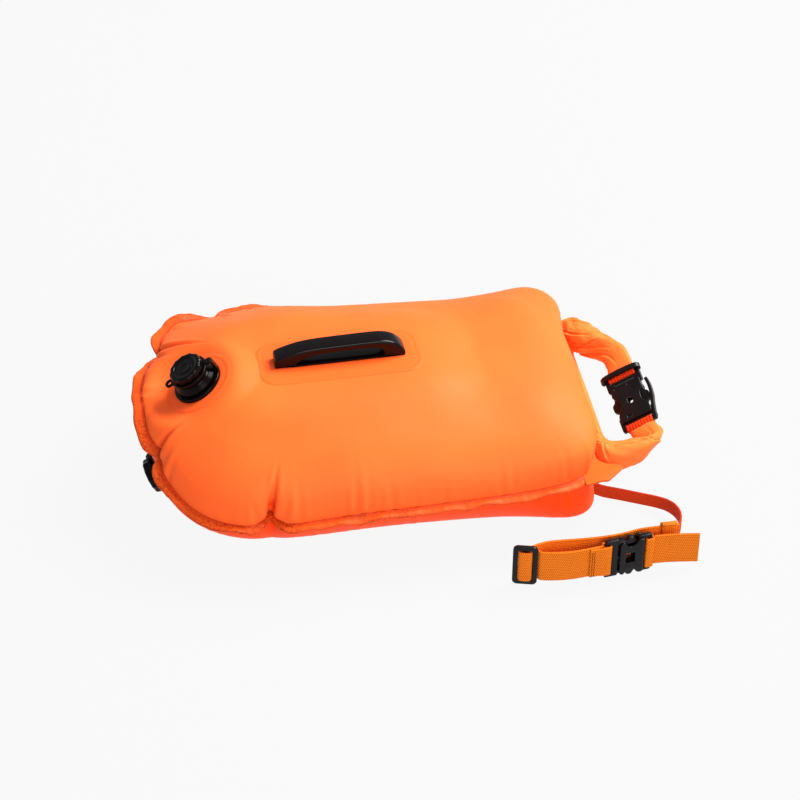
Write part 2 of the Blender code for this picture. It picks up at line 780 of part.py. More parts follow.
def rolled_neck():
    """The sheet that leaves the chambers and the middle of its roll, with a slot through the core."""
    rings = []
    for y in (-ROLL_HALF_LENGTH, ROLL_HALF_LENGTH):
        rings.append(ellipse_ring(roll_centre(y), Vector((1, 0, 0)), Vector((0, 0, 1)),
                                  ROLL_HALF_DEPTH, ROLL_HALF_HEIGHT))
    made = loft("rolled_neck", rings, FINISHES["shell"])
    sheet = extruded("neck_sheet", neck_sheet_outline(), SEAM_HEIGHT - NECK_THICKNESS / 2,
                     SEAM_HEIGHT + NECK_THICKNESS / 2, FINISHES["shell"])
    cut(made, sheet, "UNION")
    slot_depth = STIFFENER_THICKNESS + 2 * STIFFENER_SLOT_CLEARANCE
    slot_height = STIFFENER_WIDTH + 2 * STIFFENER_SLOT_CLEARANCE
    cutter = block("neck_slot", (slot_depth, 4 * ROLL_HALF_LENGTH, slot_height), FINISHES["cutter"])
    cutter.location = roll_centre()
    cut(made, cutter)
    strip = block("mouth_stiffener", (STIFFENER_THICKNESS, 2 * (ROLL_HALF_LENGTH - STIFFENER_INSET),
                                       STIFFENER_WIDTH),
                  FINISHES["stiffener"])
    strip.location = roll_centre()


def block(name, size, finish, parent=None):
    outline = [(size[0] / 2, size[1] / 2), (-size[0] / 2, size[1] / 2),
               (-size[0] / 2, -size[1] / 2), (size[0] / 2, -size[1] / 2)]
    return extruded(name, outline, -size[2] / 2, size[2] / 2, finish, parent)


def roll_arm(name, side_of_roll, tip, tip_ahead, tip_across, shares, fullness):
    """One end of the roll, folded round towards the buckle, full in the middle and flat at the tip."""
    fold_share, full_share, full_height = fullness
    root = roll_centre(side_of_roll * (ROLL_HALF_LENGTH + GAP))
    route = [root.lerp(tip, along) + Vector(off) * ARM_BOW for along, *off in shares]
    places = smooth_route(route, 2)
    rings = []
    for index, place in enumerate(places):
        share = index / (len(places) - 1)
        ahead = places[min(index + 1, len(places) - 1)] - places[max(index - 1, 0)]
        if index == 0:
            ahead = Vector((0.0, side_of_roll, 0.0))
        if index == len(places) - 1:
            ahead = tip_ahead
        growth = (share - fold_share) / (full_share - fold_share)
        closing = (share - full_share) / (1.0 - full_share)
        depth = blend(blend(ROLL_HALF_DEPTH, ARM_FULL_DEPTH, growth), ARM_TIP_DEPTH, closing)
        height = blend(blend(ROLL_HALF_HEIGHT, full_height, growth), ARM_TIP_HEIGHT, closing)
        up = Vector((0, 0, 1)).lerp(tip_across, blend(0.0, 1.0, closing))
        side = ahead.cross(up).normalized()
        up = side.cross(ahead).normalized()
        rings.append(ellipse_ring(place, side, up, depth, height))
    loft(name, rings, FINISHES["shell"])


# Buckles


def buckle_frame(name, place, turn, dip, lean):
    """Local X runs from the bar end to the far end, Y across the width and Z out of the face."""
    made = add_empty(name, place)
    facing = Matrix.Rotation(turn, 3, "Z") @ Matrix.Rotation(-dip, 3, "Y") @ Matrix.Rotation(lean, 3, "X")
    made.rotation_euler = facing.to_euler()
    return made


def in_frame(frame, place):
    return frame.rotation_euler.to_matrix() @ Vector(place) + frame.location


def slotted_bar(name, webbing, start, head, parent, bar_first=True):
    """The frame that webbing passes through, with its bar at the outer end, and its slot's cutter."""
    length = BUCKLE_BAR + BUCKLE_SLOT + head
    outline = round_rectangle(length, webbing + 2 * BUCKLE_SIDE_BAR, BUCKLE_BAR / 2, 3)
    moved = [(x + start + length / 2, y) for x, y in outline]
    made = extruded(name, moved, -BUCKLE_BAR_THICKNESS / 2, BUCKLE_BAR_THICKNESS / 2,
                    FINISHES["plastic"], parent)
    slot_middle = BUCKLE_BAR + BUCKLE_SLOT / 2 if bar_first else head + BUCKLE_SLOT / 2
    slot = round_rectangle(BUCKLE_SLOT, webbing + 2 * GAP, BUCKLE_SLOT / 4, 2)
    cutter = extruded(name + "_slot", [(x + start + slot_middle, y) for x, y in slot],
                      -BUCKLE_BAR_THICKNESS, BUCKLE_BAR_THICKNESS, FINISHES["cutter"], parent)
    return made, cutter


def buckle_male(name, webbing, head, prong_length, parent):
    """The half with two springy prongs and a straight guide between them."""
    made, slot = slotted_bar(name, webbing, 0.0, head, parent)
    root = BUCKLE_BAR + BUCKLE_SLOT + head / 2
    tip = BUCKLE_BAR + BUCKLE_SLOT + head + prong_length
    outer = webbing / 2 + BUCKLE_SIDE_BAR + LOBE_PROUD
    inner = outer - PRONG_LOBE - PRONG_WIDTH
    for label, side in (("low", -1.0), ("high", 1.0)):
        outline = [(root, inner), (tip, inner), (tip, inner + PRONG_WIDTH / 2),
                   (tip - prong_length * PRONG_SNOUT_SHARE, inner + PRONG_WIDTH),
                   (tip - prong_length * LOBE_START_SHARE, outer),
                   (tip - prong_length * LOBE_END_SHARE, outer),
                   (tip - prong_length * PRONG_ROOT_SHARE, inner + PRONG_WIDTH),
                   (root, inner + PRONG_WIDTH)]
        points = [(x, y * side) for x, y in outline]
        prong = extruded(f"{name}_prong_{label}", points, -PRONG_THICKNESS / 2, PRONG_THICKNESS / 2,
                         FINISHES["plastic"], parent)
        cut(made, prong, "UNION")
    guide_length = prong_length * GUIDE_LENGTH_SHARE + head / 2
    guide = block(name + "_guide", (guide_length, GUIDE_WIDTH, PRONG_THICKNESS), FINISHES["plastic"], parent)
    guide.location = (root + guide_length / 2, 0.0, 0.0)
    cut(made, guide, "UNION")
    cut(made, slot)


def buckle_female(name, webbing, head, prong_length, socket_block, parent):
    """Two plates with open sides, a block at the bar end and two rails. Gives the bar's start."""
    half = webbing / 2 + BUCKLE_SIDE_BAR - SOCKET_INSET
    low = PRONG_THICKNESS / 2 + SOCKET_CLEARANCE
    mouth = BUCKLE_BAR + BUCKLE_SLOT + head + SOCKET_CLEARANCE
    block_start = mouth + prong_length + SOCKET_CLEARANCE
    made, slot = slotted_bar(name, webbing, block_start, socket_block, parent, False)
    waist = mouth + prong_length * SOCKET_WAIST_SHARE
    outline = [(mouth, half - SOCKET_INSET), (waist, half), (block_start + socket_block, half),
               (block_start + socket_block, -half), (waist, -half), (mouth, -half + SOCKET_INSET)]
    for label, bottom in (("face", low), ("back", -low - PLATE_THICKNESS)):
        plate = extruded(f"{name}_{label}", outline, bottom, bottom + PLATE_THICKNESS,
                         FINISHES["plastic"], parent)
        cut(made, plate, "UNION")
    depth = 2 * low + PLATE_THICKNESS
    core = block(name + "_core", (socket_block, 2 * half, depth), FINISHES["plastic"], parent)
    core.location = (block_start + socket_block / 2, 0.0, 0.0)
    cut(made, core, "UNION")
    rail_length = prong_length + socket_block / 2
    for label, side in (("low", -1.0), ("high", 1.0)):
        rail = block(f"{name}_rail_{label}", (rail_length, GUIDE_WIDTH / 2, depth),
                     FINISHES["plastic"], parent)
        beside = GUIDE_WIDTH * SOCKET_RAIL_PLACE_SHARE + SOCKET_CLEARANCE
        rail.location = (mouth + rail_length / 2, side * beside, 0.0)
        cut(made, rail, "UNION")
    window_length = prong_length * SOCKET_WINDOW_LENGTH_SHARE
    for label, side in (("low", -1.0), ("high", 1.0)):
        outline = round_rectangle(window_length, SOCKET_WINDOW_WIDTH - GUIDE_WIDTH, GUIDE_WIDTH / 4, 3)
        centre_y = side * (GUIDE_WIDTH + 2 * SOCKET_CLEARANCE + SOCKET_WINDOW_WIDTH / 2)
        centre_x = mouth + prong_length * SOCKET_WINDOW_PLACE_SHARE
        moved = [(x + centre_x, y + centre_y) for x, y in outline]
        window = extruded(f"{name}_window_{label}", moved, 0.0, 2 * depth, FINISHES["cutter"], parent)
        cut(made, window)
    cut(made, slot)
    return block_start + socket_block + BUCKLE_SLOT


def bar_loop(name, webbing, bar_start, finish, parent):
    """Webbing sewn in a band round a bar of a buckle."""
    wall = GAP + BAR_LOOP_THICKNESS
    made = block(name, (BUCKLE_BAR + 2 * wall, webbing, BUCKLE_BAR_THICKNESS + 2 * wall), finish, parent)
    made.location = (bar_start + BUCKLE_BAR / 2, 0.0, 0.0)
    hole = block(name + "_hole", (BUCKLE_BAR + 2 * GAP, 2 * webbing, BUCKLE_BAR_THICKNESS + 2 * GAP),
                 FINISHES["cutter"], parent)
    hole.location = made.location
    cut(made, hole)


def triglide(frame):
    """Strap adjuster with an outer bar at both ends and a centre bar that the strap turns round."""
    length = TRIGLIDE_LENGTH
    height = BELT_WEBBING_WIDTH + 2 * TRIGLIDE_HEIGHT_EXTRA
    outline = [(x + length / 2, y) for x, y in round_rectangle(length, height, TRIGLIDE_OUTER_BAR / 2, 4)]
    made = extruded("belt_triglide", outline, -TRIGLIDE_THICKNESS / 2, TRIGLIDE_THICKNESS / 2,
                    FINISHES["plastic"], frame)
    slot_length = (length - 2 * TRIGLIDE_OUTER_BAR - TRIGLIDE_CENTRE_BAR) / 2
    second = length - TRIGLIDE_OUTER_BAR - slot_length
    for label, start in (("first", TRIGLIDE_OUTER_BAR), ("second", second)):
        slot = round_rectangle(slot_length, BELT_WEBBING_WIDTH + 4 * GAP, slot_length / 4, 2)
        cutter = extruded(f"triglide_slot_{label}", [(x + start + slot_length / 2, y) for x, y in slot],
                          -TRIGLIDE_THICKNESS, TRIGLIDE_THICKNESS, FINISHES["cutter"], frame)
        cut(made, cutter)
    wall = GAP + BAR_LOOP_THICKNESS
    turn = block("belt_triglide_turn", (TRIGLIDE_CENTRE_BAR + 2 * wall, BELT_WEBBING_WIDTH,
                                        TRIGLIDE_THICKNESS + 2 * wall), FINISHES["webbing"], frame)
    turn.location = (length / 2, 0.0, 0.0)
    hole = block("triglide_turn_hole", (TRIGLIDE_CENTRE_BAR + 2 * GAP, 2 * BELT_WEBBING_WIDTH,
                                        TRIGLIDE_THICKNESS + 2 * GAP), FINISHES["cutter"], frame)
    hole.location = turn.location
    cut(turn, hole)


def keeper(frame):
    """Band round the back strap that the leash is sewn to."""
    length = KEEPER_LENGTH
    inner = (2 * length, BELT_WEBBING_WIDTH + 2 * KEEPER_CLEARANCE, WEBBING_THICKNESS + 2 * KEEPER_CLEARANCE)
    outer = (length, inner[1] + 2 * KEEPER_WALL, inner[2] + 2 * KEEPER_WALL)
    made = block("belt_keeper", outer, FINISHES["webbing"], frame)
    made.location = (length / 2, 0.0, 0.0)
    hole = block("keeper_hole", inner, FINISHES["cutter"], frame)
    hole.location = made.location
    cut(made, hole)


# Valves


def valve(prefix, frame):
    """Weld patch, base, one-way flap, screw body, seal, swivel ring, cap and tether."""
    plastic = FINISHES["plastic"]
    patch_low = GAP
    patch_high = patch_low + PATCH_THICKNESS
    turned(prefix + "_patch", [(VALVE_BOSS_RADIUS + GAP, patch_low), (VALVE_PATCH_RADIUS, patch_low),
                               (VALVE_PATCH_RADIUS, patch_high), (VALVE_BOSS_RADIUS + GAP, patch_high)],
           FINISHES["patch"], frame)
    flange_low = patch_high + GAP
    flange_high = flange_low + VALVE_FLANGE_THICKNESS
    ledge_low = -VALVE_BOSS_DEPTH
    ledge_high = ledge_low + VALVE_LEDGE_THICKNESS
    turned(prefix + "_base", [
        (VALVE_LEDGE_RADIUS, ledge_low), (VALVE_BOSS_RADIUS, ledge_low), (VALVE_BOSS_RADIUS, flange_low),
        (VALVE_FLANGE_RADIUS, flange_low), (VALVE_FLANGE_RADIUS, flange_high),
        (VALVE_NECK_RADIUS, flange_high), (VALVE_NECK_RADIUS, VALVE_NECK_TOP),
        (VALVE_BORE_RADIUS, VALVE_NECK_TOP), (VALVE_BORE_RADIUS, ledge_high),
        (VALVE_LEDGE_RADIUS, ledge_high)], plastic, frame)
    flap_low = ledge_high + GAP
    flap_radius = VALVE_BORE_RADIUS - GAP
    flap_high = flap_low + VALVE_FLAP_THICKNESS
    disc(prefix + "_flap", [(0.0, flap_low), (flap_radius, flap_low), (flap_radius, flap_high),
                            (0.0, flap_high)], FINISHES["rubber"], frame)
    body_low = flange_high + GAP
    body_inner = VALVE_NECK_RADIUS + GAP
    waist = (body_low + VALVE_BODY_TOP) / 2
    turned(prefix + "_body", [(body_inner, body_low), (VALVE_BODY_RADIUS, body_low),
                              (VALVE_BODY_RADIUS, waist), (CAP_RADIUS + GAP, VALVE_BODY_TOP),
                              (body_inner, VALVE_BODY_TOP)], plastic, frame)
    seal_low = VALVE_NECK_TOP + GAP
    seal_high = seal_low + SEAL_THICKNESS
    turned(prefix + "_seal", [(VALVE_NECK_RADIUS - SEAL_WIDTH, seal_low), (VALVE_NECK_RADIUS, seal_low),
                              (VALVE_NECK_RADIUS, seal_high), (VALVE_NECK_RADIUS - SEAL_WIDTH, seal_high)],
           FINISHES["rubber"], frame)
    valve_cap(prefix, frame, VALVE_BODY_TOP + GAP, seal_high + GAP)
    valve_swivel(prefix, frame)
    valve_tether(prefix, frame, flange_high + GAP)


def valve_cap(prefix, frame, skirt_low, roof):
    inner = VALVE_NECK_RADIUS + GAP
    groove = CAP_RADIUS - CAP_GROOVE_DEPTH
    profile = [(0.0, roof), (inner, roof), (inner, skirt_low), (CAP_RADIUS, skirt_low),
               (CAP_RADIUS, SWIVEL_BOTTOM - GAP), (groove, SWIVEL_BOTTOM - GAP),
               (groove, SWIVEL_TOP + GAP), (CAP_RADIUS, SWIVEL_TOP + GAP),
               (CAP_RADIUS, CAP_TOP - CAP_DISH_DEPTH), (CAP_RADIUS - CAP_DISH_DEPTH, CAP_TOP),
               (CAP_DISH_RADIUS, CAP_TOP), (CAP_DISH_RADIUS - CAP_DISH_DEPTH, CAP_TOP - CAP_DISH_DEPTH),
               (0.0, CAP_TOP - CAP_DISH_DEPTH)]
    cap = disc(prefix + "_cap", profile, FINISHES["plastic"], frame)
    for grip in range(CAP_GRIPS):
        angle = 2 * math.pi * grip / CAP_GRIPS
        rib = disc(f"{prefix}_grip_{grip}", [
            (0.0, SWIVEL_TOP + 2 * GAP), (CAP_GRIP_RADIUS, SWIVEL_TOP + 2 * GAP),
            (CAP_GRIP_RADIUS, CAP_TOP - CAP_DISH_DEPTH), (0.0, CAP_TOP - CAP_DISH_DEPTH)],
            FINISHES["plastic"], frame, 8)
        rib.location = (CAP_RADIUS * math.cos(angle), CAP_RADIUS * math.sin(angle), 0.0)
        cut(cap, rib, "UNION")


def valve_swivel(prefix, frame):
    """Ring that rides in the cap's groove and lifts with it, with an ear on both sides."""
    inner = CAP_RADIUS - CAP_GROOVE_DEPTH + GAP
    outer = CAP_RADIUS + SWIVEL_WALL
    swivel = turned(prefix + "_swivel", [(inner, SWIVEL_BOTTOM), (outer, SWIVEL_BOTTOM),
                                         (outer, SWIVEL_TOP), (inner, SWIVEL_TOP)],
                    FINISHES["plastic"], frame)
    ear = disc(prefix + "_ear", [(0.0, SWIVEL_BOTTOM), (EAR_RADIUS, SWIVEL_BOTTOM),
                                 (EAR_RADIUS, SWIVEL_TOP), (0.0, SWIVEL_TOP)],
               FINISHES["plastic"], frame, 20)
    ear.location = (-EAR_REACH + EAR_RADIUS / 2, 0.0, 0.0)
    cut(swivel, ear, "UNION")
    hole = disc(prefix + "_ear_hole", [(0.0, 0.0), (EAR_HOLE_RADIUS, 0.0), (EAR_HOLE_RADIUS, CAP_TOP),
                                       (0.0, CAP_TOP)], FINISHES["cutter"], frame, 16)
    hole.location = (-EAR_REACH + EAR_RADIUS / 2, 0.0, 0.0)
    cut(swivel, hole)
    tab = block(prefix + "_tab", (EAR_RADIUS, TETHER_WIDTH, SWIVEL_TOP - SWIVEL_BOTTOM),
                FINISHES["plastic"], frame)
    tab.location = (outer + EAR_RADIUS / 2 - GAP, 0.0, (SWIVEL_TOP + SWIVEL_BOTTOM) / 2)
    cut(swivel, tab, "UNION")


def valve_tether(prefix, frame, foot):
    """Short strap from the swivel's tab down to the base's flange."""
    reach = CAP_RADIUS + SWIVEL_WALL + EAR_RADIUS
    half = TETHER_THICKNESS / 2
    top = SWIVEL_BOTTOM - GAP
    profile = [(reach - 3 * half, top), (reach, top), (reach, foot + 2 * half),
               (reach - half, foot), (TETHER_FOOT_RADIUS - 2 * half, foot),
               (TETHER_FOOT_RADIUS - 2 * half, foot + 2 * half),
               (reach - 3 * half, foot + 2 * half)]
    low = -TETHER_WIDTH / 2
    rings = [[(x, low, z) for x, z in profile], [(x, -low, z) for x, z in profile]]
    loft(prefix + "_tether", rings, FINISHES["plastic"], False, frame)


# Handle


def handle_seat_height():
    rise = upper_rise(HANDLE_CENTRE_X)
    crown = seam_height(HANDLE_CENTRE_X, 0.0) + SEAM_THICKNESS / 2 + LAYER_GAP + rise
    return crown - HANDLE_SEAT_SINK


def handle_seat_cutter():
    outline = round_rectangle(HANDLE_PATCH_LENGTH + 2 * GAP, HANDLE_PATCH_WIDTH + 2 * GAP,
                              HANDLE_PATCH_CORNER)
    made = extruded("handle_seat", outline, 0.0, HANDLE_HEIGHT, FINISHES["cutter"])
    made.location = (HANDLE_CENTRE_X, 0.0, handle_seat_height())
    return made


def handle():
    base = handle_seat_height() + GAP
    outline = round_rectangle(HANDLE_PATCH_LENGTH, HANDLE_PATCH_WIDTH, HANDLE_PATCH_CORNER)
    patch = extruded("handle_patch", outline, 0.0, PATCH_THICKNESS, FINISHES["patch"])
    patch.location = (HANDLE_CENTRE_X, 0.0, base)
    foot = base + PATCH_THICKNESS + GAP
    outer = bridge_outline(HANDLE_LENGTH, HANDLE_TOP_LENGTH, 0.0, HANDLE_HEIGHT)
    gap = bridge_outline(HANDLE_GAP_LENGTH, HANDLE_GAP_TOP_LENGTH, HANDLE_PLATE, HANDLE_HEIGHT - HANDLE_BAR)
    face = HANDLE_WIDTH / 2
    wall = face - HANDLE_BEVEL
    loops = []
    for outline, inset, y in ((outer, 0.0, -wall), (outer, HANDLE_BEVEL, -face), (gap, -HANDLE_BEVEL, -face),
                              (gap, 0.0, -wall), (gap, 0.0, wall), (gap, -HANDLE_BEVEL, face),
                              (outer, HANDLE_BEVEL, face), (outer, 0.0, wall)):
        loops.append([(x, y, z) for x, z in drawn_in(outline, inset)])
    points = [point for loop in loops for point in loop]
    faces = []
    count = len(outer)
    for index in range(len(loops)):
        start = index * count
        after = (index + 1) % len(loops) * count
        for step in range(count):
            ahead = (step + 1) % count
            faces.append((start + step, start + ahead, after + ahead, after + step))
    made = add_mesh("handle", points, faces, FINISHES["plastic"])
    made.location = (HANDLE_CENTRE_X, 0.0, foot)


def drawn_in(outline, inset):
    """A counter-clockwise outline moved inwards by the inset, or outwards by a negative one."""
    found = []
    for index, place in enumerate(outline):
        here = Vector(place)
        before = (here - Vector(outline[index - 1])).normalized()
        after = (Vector(outline[(index + 1) % len(outline)]) - here).normalized()
        middle = Vector((-before.y - after.y, before.x + after.x)).normalized()
        found.append(here + middle * inset / middle.dot(Vector((-before.y, before.x))))
    return found


def bridge_outline(length, top_length, low, high, steps=7):
    """A flat bottom, a flat top and two quarter round shoulders."""
    run = (length - top_length) / 2
    points = []
    for step in range(steps + 1):
        angle = math.pi / 2 * step / steps
        points.append((top_length / 2 + run * math.cos(angle), low + (high - low) * math.sin(angle)))
    return points + [(-x, z) for x, z in reversed(points)]


# Leash anchor


def anchor_seat_cutter(frame):
    outline = round_rectangle(ANCHOR_PATCH_LENGTH + 2 * GAP, ANCHOR_PATCH_WIDTH + 2 * GAP,
                              ANCHOR_PATCH_CORNER)
    return extruded("anchor_seat", outline, 0.0, ANCHOR_PATCH_LENGTH, FINISHES["cutter"], frame)


def leash_anchor(frame):
    outline = round_rectangle(ANCHOR_PATCH_LENGTH, ANCHOR_PATCH_WIDTH, ANCHOR_PATCH_CORNER)
    extruded("leash_anchor_patch", outline, GAP, GAP + PATCH_THICKNESS, FINISHES["patch"], frame)
    foot = PATCH_THICKNESS + 2 * GAP
    outer = bridge_outline(ANCHOR_LOOP_LENGTH, ANCHOR_LOOP_TOP_LENGTH, foot, foot + ANCHOR_LOOP_REACH)
    rings = [[(x, -ANCHOR_LOOP_WIDTH / 2, z) for x, z in outer],
             [(x, ANCHOR_LOOP_WIDTH / 2, z) for x, z in outer]]
    loop = loft("leash_anchor_loop", rings, FINISHES["webbing_red"], True, frame)
    inner_length = ANCHOR_LOOP_LENGTH - 2 * ANCHOR_LOOP_THICKNESS
    inner = bridge_outline(inner_length, ANCHOR_LOOP_TOP_LENGTH, foot + ANCHOR_LOOP_THICKNESS,
                           foot + ANCHOR_LOOP_REACH - ANCHOR_LOOP_THICKNESS)
    rings = [[(x, -ANCHOR_LOOP_WIDTH, z) for x, z in inner], [(x, ANCHOR_LOOP_WIDTH, z) for x, z in inner]]
    cut(loop, loft("anchor_loop_gap", rings, FINISHES["cutter"], True, frame))


# Belt


def belt_level():
    return BELT_FLOOR_GAP + TRIGLIDE_HEIGHT_EXTRA + BELT_WEBBING_WIDTH / 2


def belt():
    level = belt_level()
    webbing = FINISHES["webbing"]

    def raised(route):
        return [(x, y, level) for x, y in route]

    ribbon("belt_back_strap", raised(BELT_BACK_ROUTE), BELT_WEBBING_WIDTH, WEBBING_THICKNESS, webbing)
    ribbon("belt_front_strap", raised(BELT_FRONT_ROUTE), BELT_WEBBING_WIDTH, WEBBING_THICKNESS, webbing)
    ribbon("belt_tail", raised(BELT_TAIL_ROUTE), BELT_WEBBING_WIDTH, WEBBING_THICKNESS, webbing)
    ribbon("leash_strap", LEASH_ROUTE, LEASH_WIDTH, LEASH_THICKNESS, FINISHES["webbing_red"])
    upright = math.radians(90)
    frame = buckle_frame("belt_buckle_frame", (BELT_BUCKLE_X, BELT_BUCKLE_Y, level),
                         BELT_BUCKLE_TURN, 0.0, upright)
    buckle_male("belt_buckle_male", BELT_WEBBING_WIDTH, BELT_BUCKLE_HEAD, BELT_PRONG_LENGTH, frame)
    bar_start = buckle_female("belt_buckle_female", BELT_WEBBING_WIDTH, BELT_BUCKLE_HEAD,
                              BELT_PRONG_LENGTH, BELT_SOCKET_BLOCK, frame)
    bar_loop("belt_front_bar_loop", BELT_WEBBING_WIDTH, 0.0, webbing, frame)
    bar_loop("belt_tail_bar_loop", BELT_WEBBING_WIDTH, bar_start, webbing, frame)
    triglide(buckle_frame("triglide_frame", (TRIGLIDE_X, TRIGLIDE_Y, level), TRIGLIDE_TURN, 0.0, upright))
    keeper(buckle_frame("keeper_frame", (KEEPER_X, KEEPER_Y, level), 0.0, 0.0, upright))


FINISHES = {}


def make_finishes():
    FINISHES["shell"] = material("shell", (0.96, 0.19, 0.030), 0.45)
    FINISHES["shell_lower"] = material("shell_lower", (0.93, 0.15, 0.025), 0.45)
    FINISHES["liner"] = material("liner", (0.85, 0.16, 0.03), 0.5)
    FINISHES["flange"] = material("flange", (0.70, 0.13, 0.015), 0.5)
    FINISHES["patch"] = material("patch", (0.92, 0.14, 0.022), 0.4)
    FINISHES["plastic"] = material("plastic", (0.010, 0.010, 0.012), 0.32)
    FINISHES["rubber"] = material("rubber", (0.02, 0.02, 0.02), 0.7)
    FINISHES["stiffener"] = material("stiffener", (0.05, 0.05, 0.05), 0.5)
    FINISHES["webbing"] = material("webbing", (0.80, 0.17, 0.008), 0.75)
    FINISHES["webbing_red"] = material("webbing_red", (0.55, 0.075, 0.010), 0.7)
    FINISHES["cutter"] = material("cutter", (0.5, 0.5, 0.5), 0.5)


def roll_top():
    """The neck, its roll, the two arms and the buckle that holds them together."""
    rolled_neck()
    start = roll_centre(ROLL_BUCKLE_ALONG) + Vector((ROLL_BUCKLE_OUT, 0.0, ROLL_BUCKLE_RISE))
    frame = buckle_frame("roll_buckle_frame", start, ROLL_BUCKLE_TURN, ROLL_BUCKLE_DIP, ROLL_BUCKLE_LEAN)
    buckle_male("roll_buckle_male", ROLL_WEBBING_WIDTH, ROLL_BUCKLE_HEAD, ROLL_PRONG_LENGTH, frame)
    bar_start = buckle_female("roll_buckle_female", ROLL_WEBBING_WIDTH, ROLL_BUCKLE_HEAD,
                              ROLL_PRONG_LENGTH, ROLL_SOCKET_BLOCK, frame)
    bar_loop("roll_back_bar_loop", ROLL_WEBBING_WIDTH, 0.0, FINISHES["webbing_red"], frame)
    bar_loop("roll_front_bar_loop", ROLL_WEBBING_WIDTH, bar_start, FINISHES["webbing_red"], frame)
    along, across, _ = frame.rotation_euler.to_matrix().transposed()
    past_loop = BAR_LOOP_THICKNESS + 2 * GAP
    back_tip = in_frame(frame, (-past_loop, 0.0, 0.0))
    front_tip = in_frame(frame, (bar_start + BUCKLE_BAR + past_loop, 0.0, 0.0))
    roll_arm("roll_arm_back", 1.0, back_tip, along, across, BACK_ARM_SHARES,
             (ARM_FOLD_SHARE, ARM_FULL_SHARE, ARM_FULL_HEIGHT))
    roll_arm("roll_arm_front", -1.0, front_tip, -along, across, FRONT_ARM_SHARES,
             (FRONT_ARM_FOLD_SHARE, FRONT_ARM_FULL_SHARE, FRONT_ARM_FULL_HEIGHT))


def crown_share(x, power):
    """Height of a crown over the long axis near the closed tip, as a share of its full rise."""
    return superellipse((SPINE_START_X - x) / (SPINE_START_X - CLOSED_END_X), power)


def upper_valve_frame():
    x = CLOSED_END_X + VALVE_INSET
    top = seam_height(x, 0.0) + SEAM_THICKNESS / 2 + LAYER_GAP
    top = top + upper_rise(SPINE_START_X) * crown_share(x, UPPER_TIP_POWER)
    return valve_frame("upper_valve_frame", Vector((x, 0.0, top)), UPPER_VALVE_TILT)


def lower_valve_frame():
    x = CLOSED_END_X + LOWER_VALVE_INSET
    bottom = seam_height(x, 0.0) - SEAM_THICKNESS / 2 - LAYER_GAP
    bottom = bottom - lower_rise(SPINE_START_X) * crown_share(x, LOWER_TIP_POWER)
    return valve_frame("lower_valve_frame", Vector((x, 0.0, bottom)), LOWER_VALVE_TILT)


def valve_frame(name, surface, tilt):
    """Leans the valve's axis from straight up towards the closed end and sinks its seat."""
    axis = Vector((-math.sin(tilt), 0.0, math.cos(tilt)))
    return add_empty(name, surface - axis * VALVE_SINK, (0.0, -tilt, 0.0))


def main():
    clear_scene()
    make_finishes()
    places = (stations(True), stations(False))
    upper_frame = upper_valve_frame()
    lower_frame = lower_valve_frame()
    anchor_frame = add_empty("anchor_frame", (ROLL_END_X - ANCHOR_END_INSET, ANCHOR_Y, ANCHOR_HEIGHT),
                             (0.0, ANCHOR_TILT, 0.0))
    upper_chamber(places, upper_frame)
    lower_chamber(places, lower_frame, anchor_frame)
    liners(places)
    seam_flange(places)
    roll_top()
    valve("upper_valve", upper_frame)
    valve("lower_valve", lower_frame)
    handle()
    leash_anchor(anchor_frame)
    belt()


main()
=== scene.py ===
# Open water swim buoy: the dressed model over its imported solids. Metres, +Z up, +X to the roll top.

import json
import math

import bmesh
import bpy
import numpy as np
from mathutils import Matrix, Vector, noise as mesh_noise


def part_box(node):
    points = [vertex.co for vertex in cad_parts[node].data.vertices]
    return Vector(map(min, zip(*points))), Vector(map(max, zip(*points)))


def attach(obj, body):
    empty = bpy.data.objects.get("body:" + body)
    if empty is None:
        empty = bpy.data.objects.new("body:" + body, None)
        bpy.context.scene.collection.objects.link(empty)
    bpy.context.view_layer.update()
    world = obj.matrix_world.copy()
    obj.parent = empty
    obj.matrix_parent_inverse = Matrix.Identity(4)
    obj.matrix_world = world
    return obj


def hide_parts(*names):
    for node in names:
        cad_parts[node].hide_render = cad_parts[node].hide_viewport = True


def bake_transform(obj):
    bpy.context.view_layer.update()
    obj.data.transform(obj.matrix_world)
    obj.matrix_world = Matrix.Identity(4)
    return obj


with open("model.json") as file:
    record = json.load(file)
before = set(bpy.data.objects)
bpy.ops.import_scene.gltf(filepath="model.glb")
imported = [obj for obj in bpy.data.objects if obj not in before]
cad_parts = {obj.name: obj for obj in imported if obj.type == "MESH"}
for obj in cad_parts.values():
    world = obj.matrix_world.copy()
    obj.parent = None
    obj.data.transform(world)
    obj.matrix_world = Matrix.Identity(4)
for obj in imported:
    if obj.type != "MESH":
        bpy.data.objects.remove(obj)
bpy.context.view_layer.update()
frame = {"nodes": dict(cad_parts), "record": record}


# Camera, floor and light

CAMERA_AZIMUTH = math.radians(10)
CAMERA_ELEVATION = math.radians(41.5)
CAMERA_DISTANCE = 2.6
CAMERA_SIGHT = 50
FOCAL_PIXELS = 2964.0
ORIGIN_PIXEL = (357.8, 471.5)
IMAGE_PIXELS = 800
SENSOR_WIDTH = 36.0
FLOOR_HALF_SIZE = 12
FLOOR_DEPTH = 0.0006
FLOOR_GREY = 0.015
FLOOR_GLOW = 0.915
WORLD_GLOW = 0.46
WHITE = (1, 1, 1, 1)
LIGHTS = (("key", (1.85, 0.55, 2.35), (0.02, 0.0, 0.05), (1.7, 1.7), 222),
          ("front", (0.5, -2.5, 1.5), (0.0, 0.0, 0.05), (1.8, 1.2), 52))


def add_object(name, data):
    made = bpy.data.objects.new(name, data)
    bpy.context.scene.collection.objects.link(made)
    return made


def set_inputs(made, values):
    for name, value in values.items():
        made.inputs[name].default_value = value


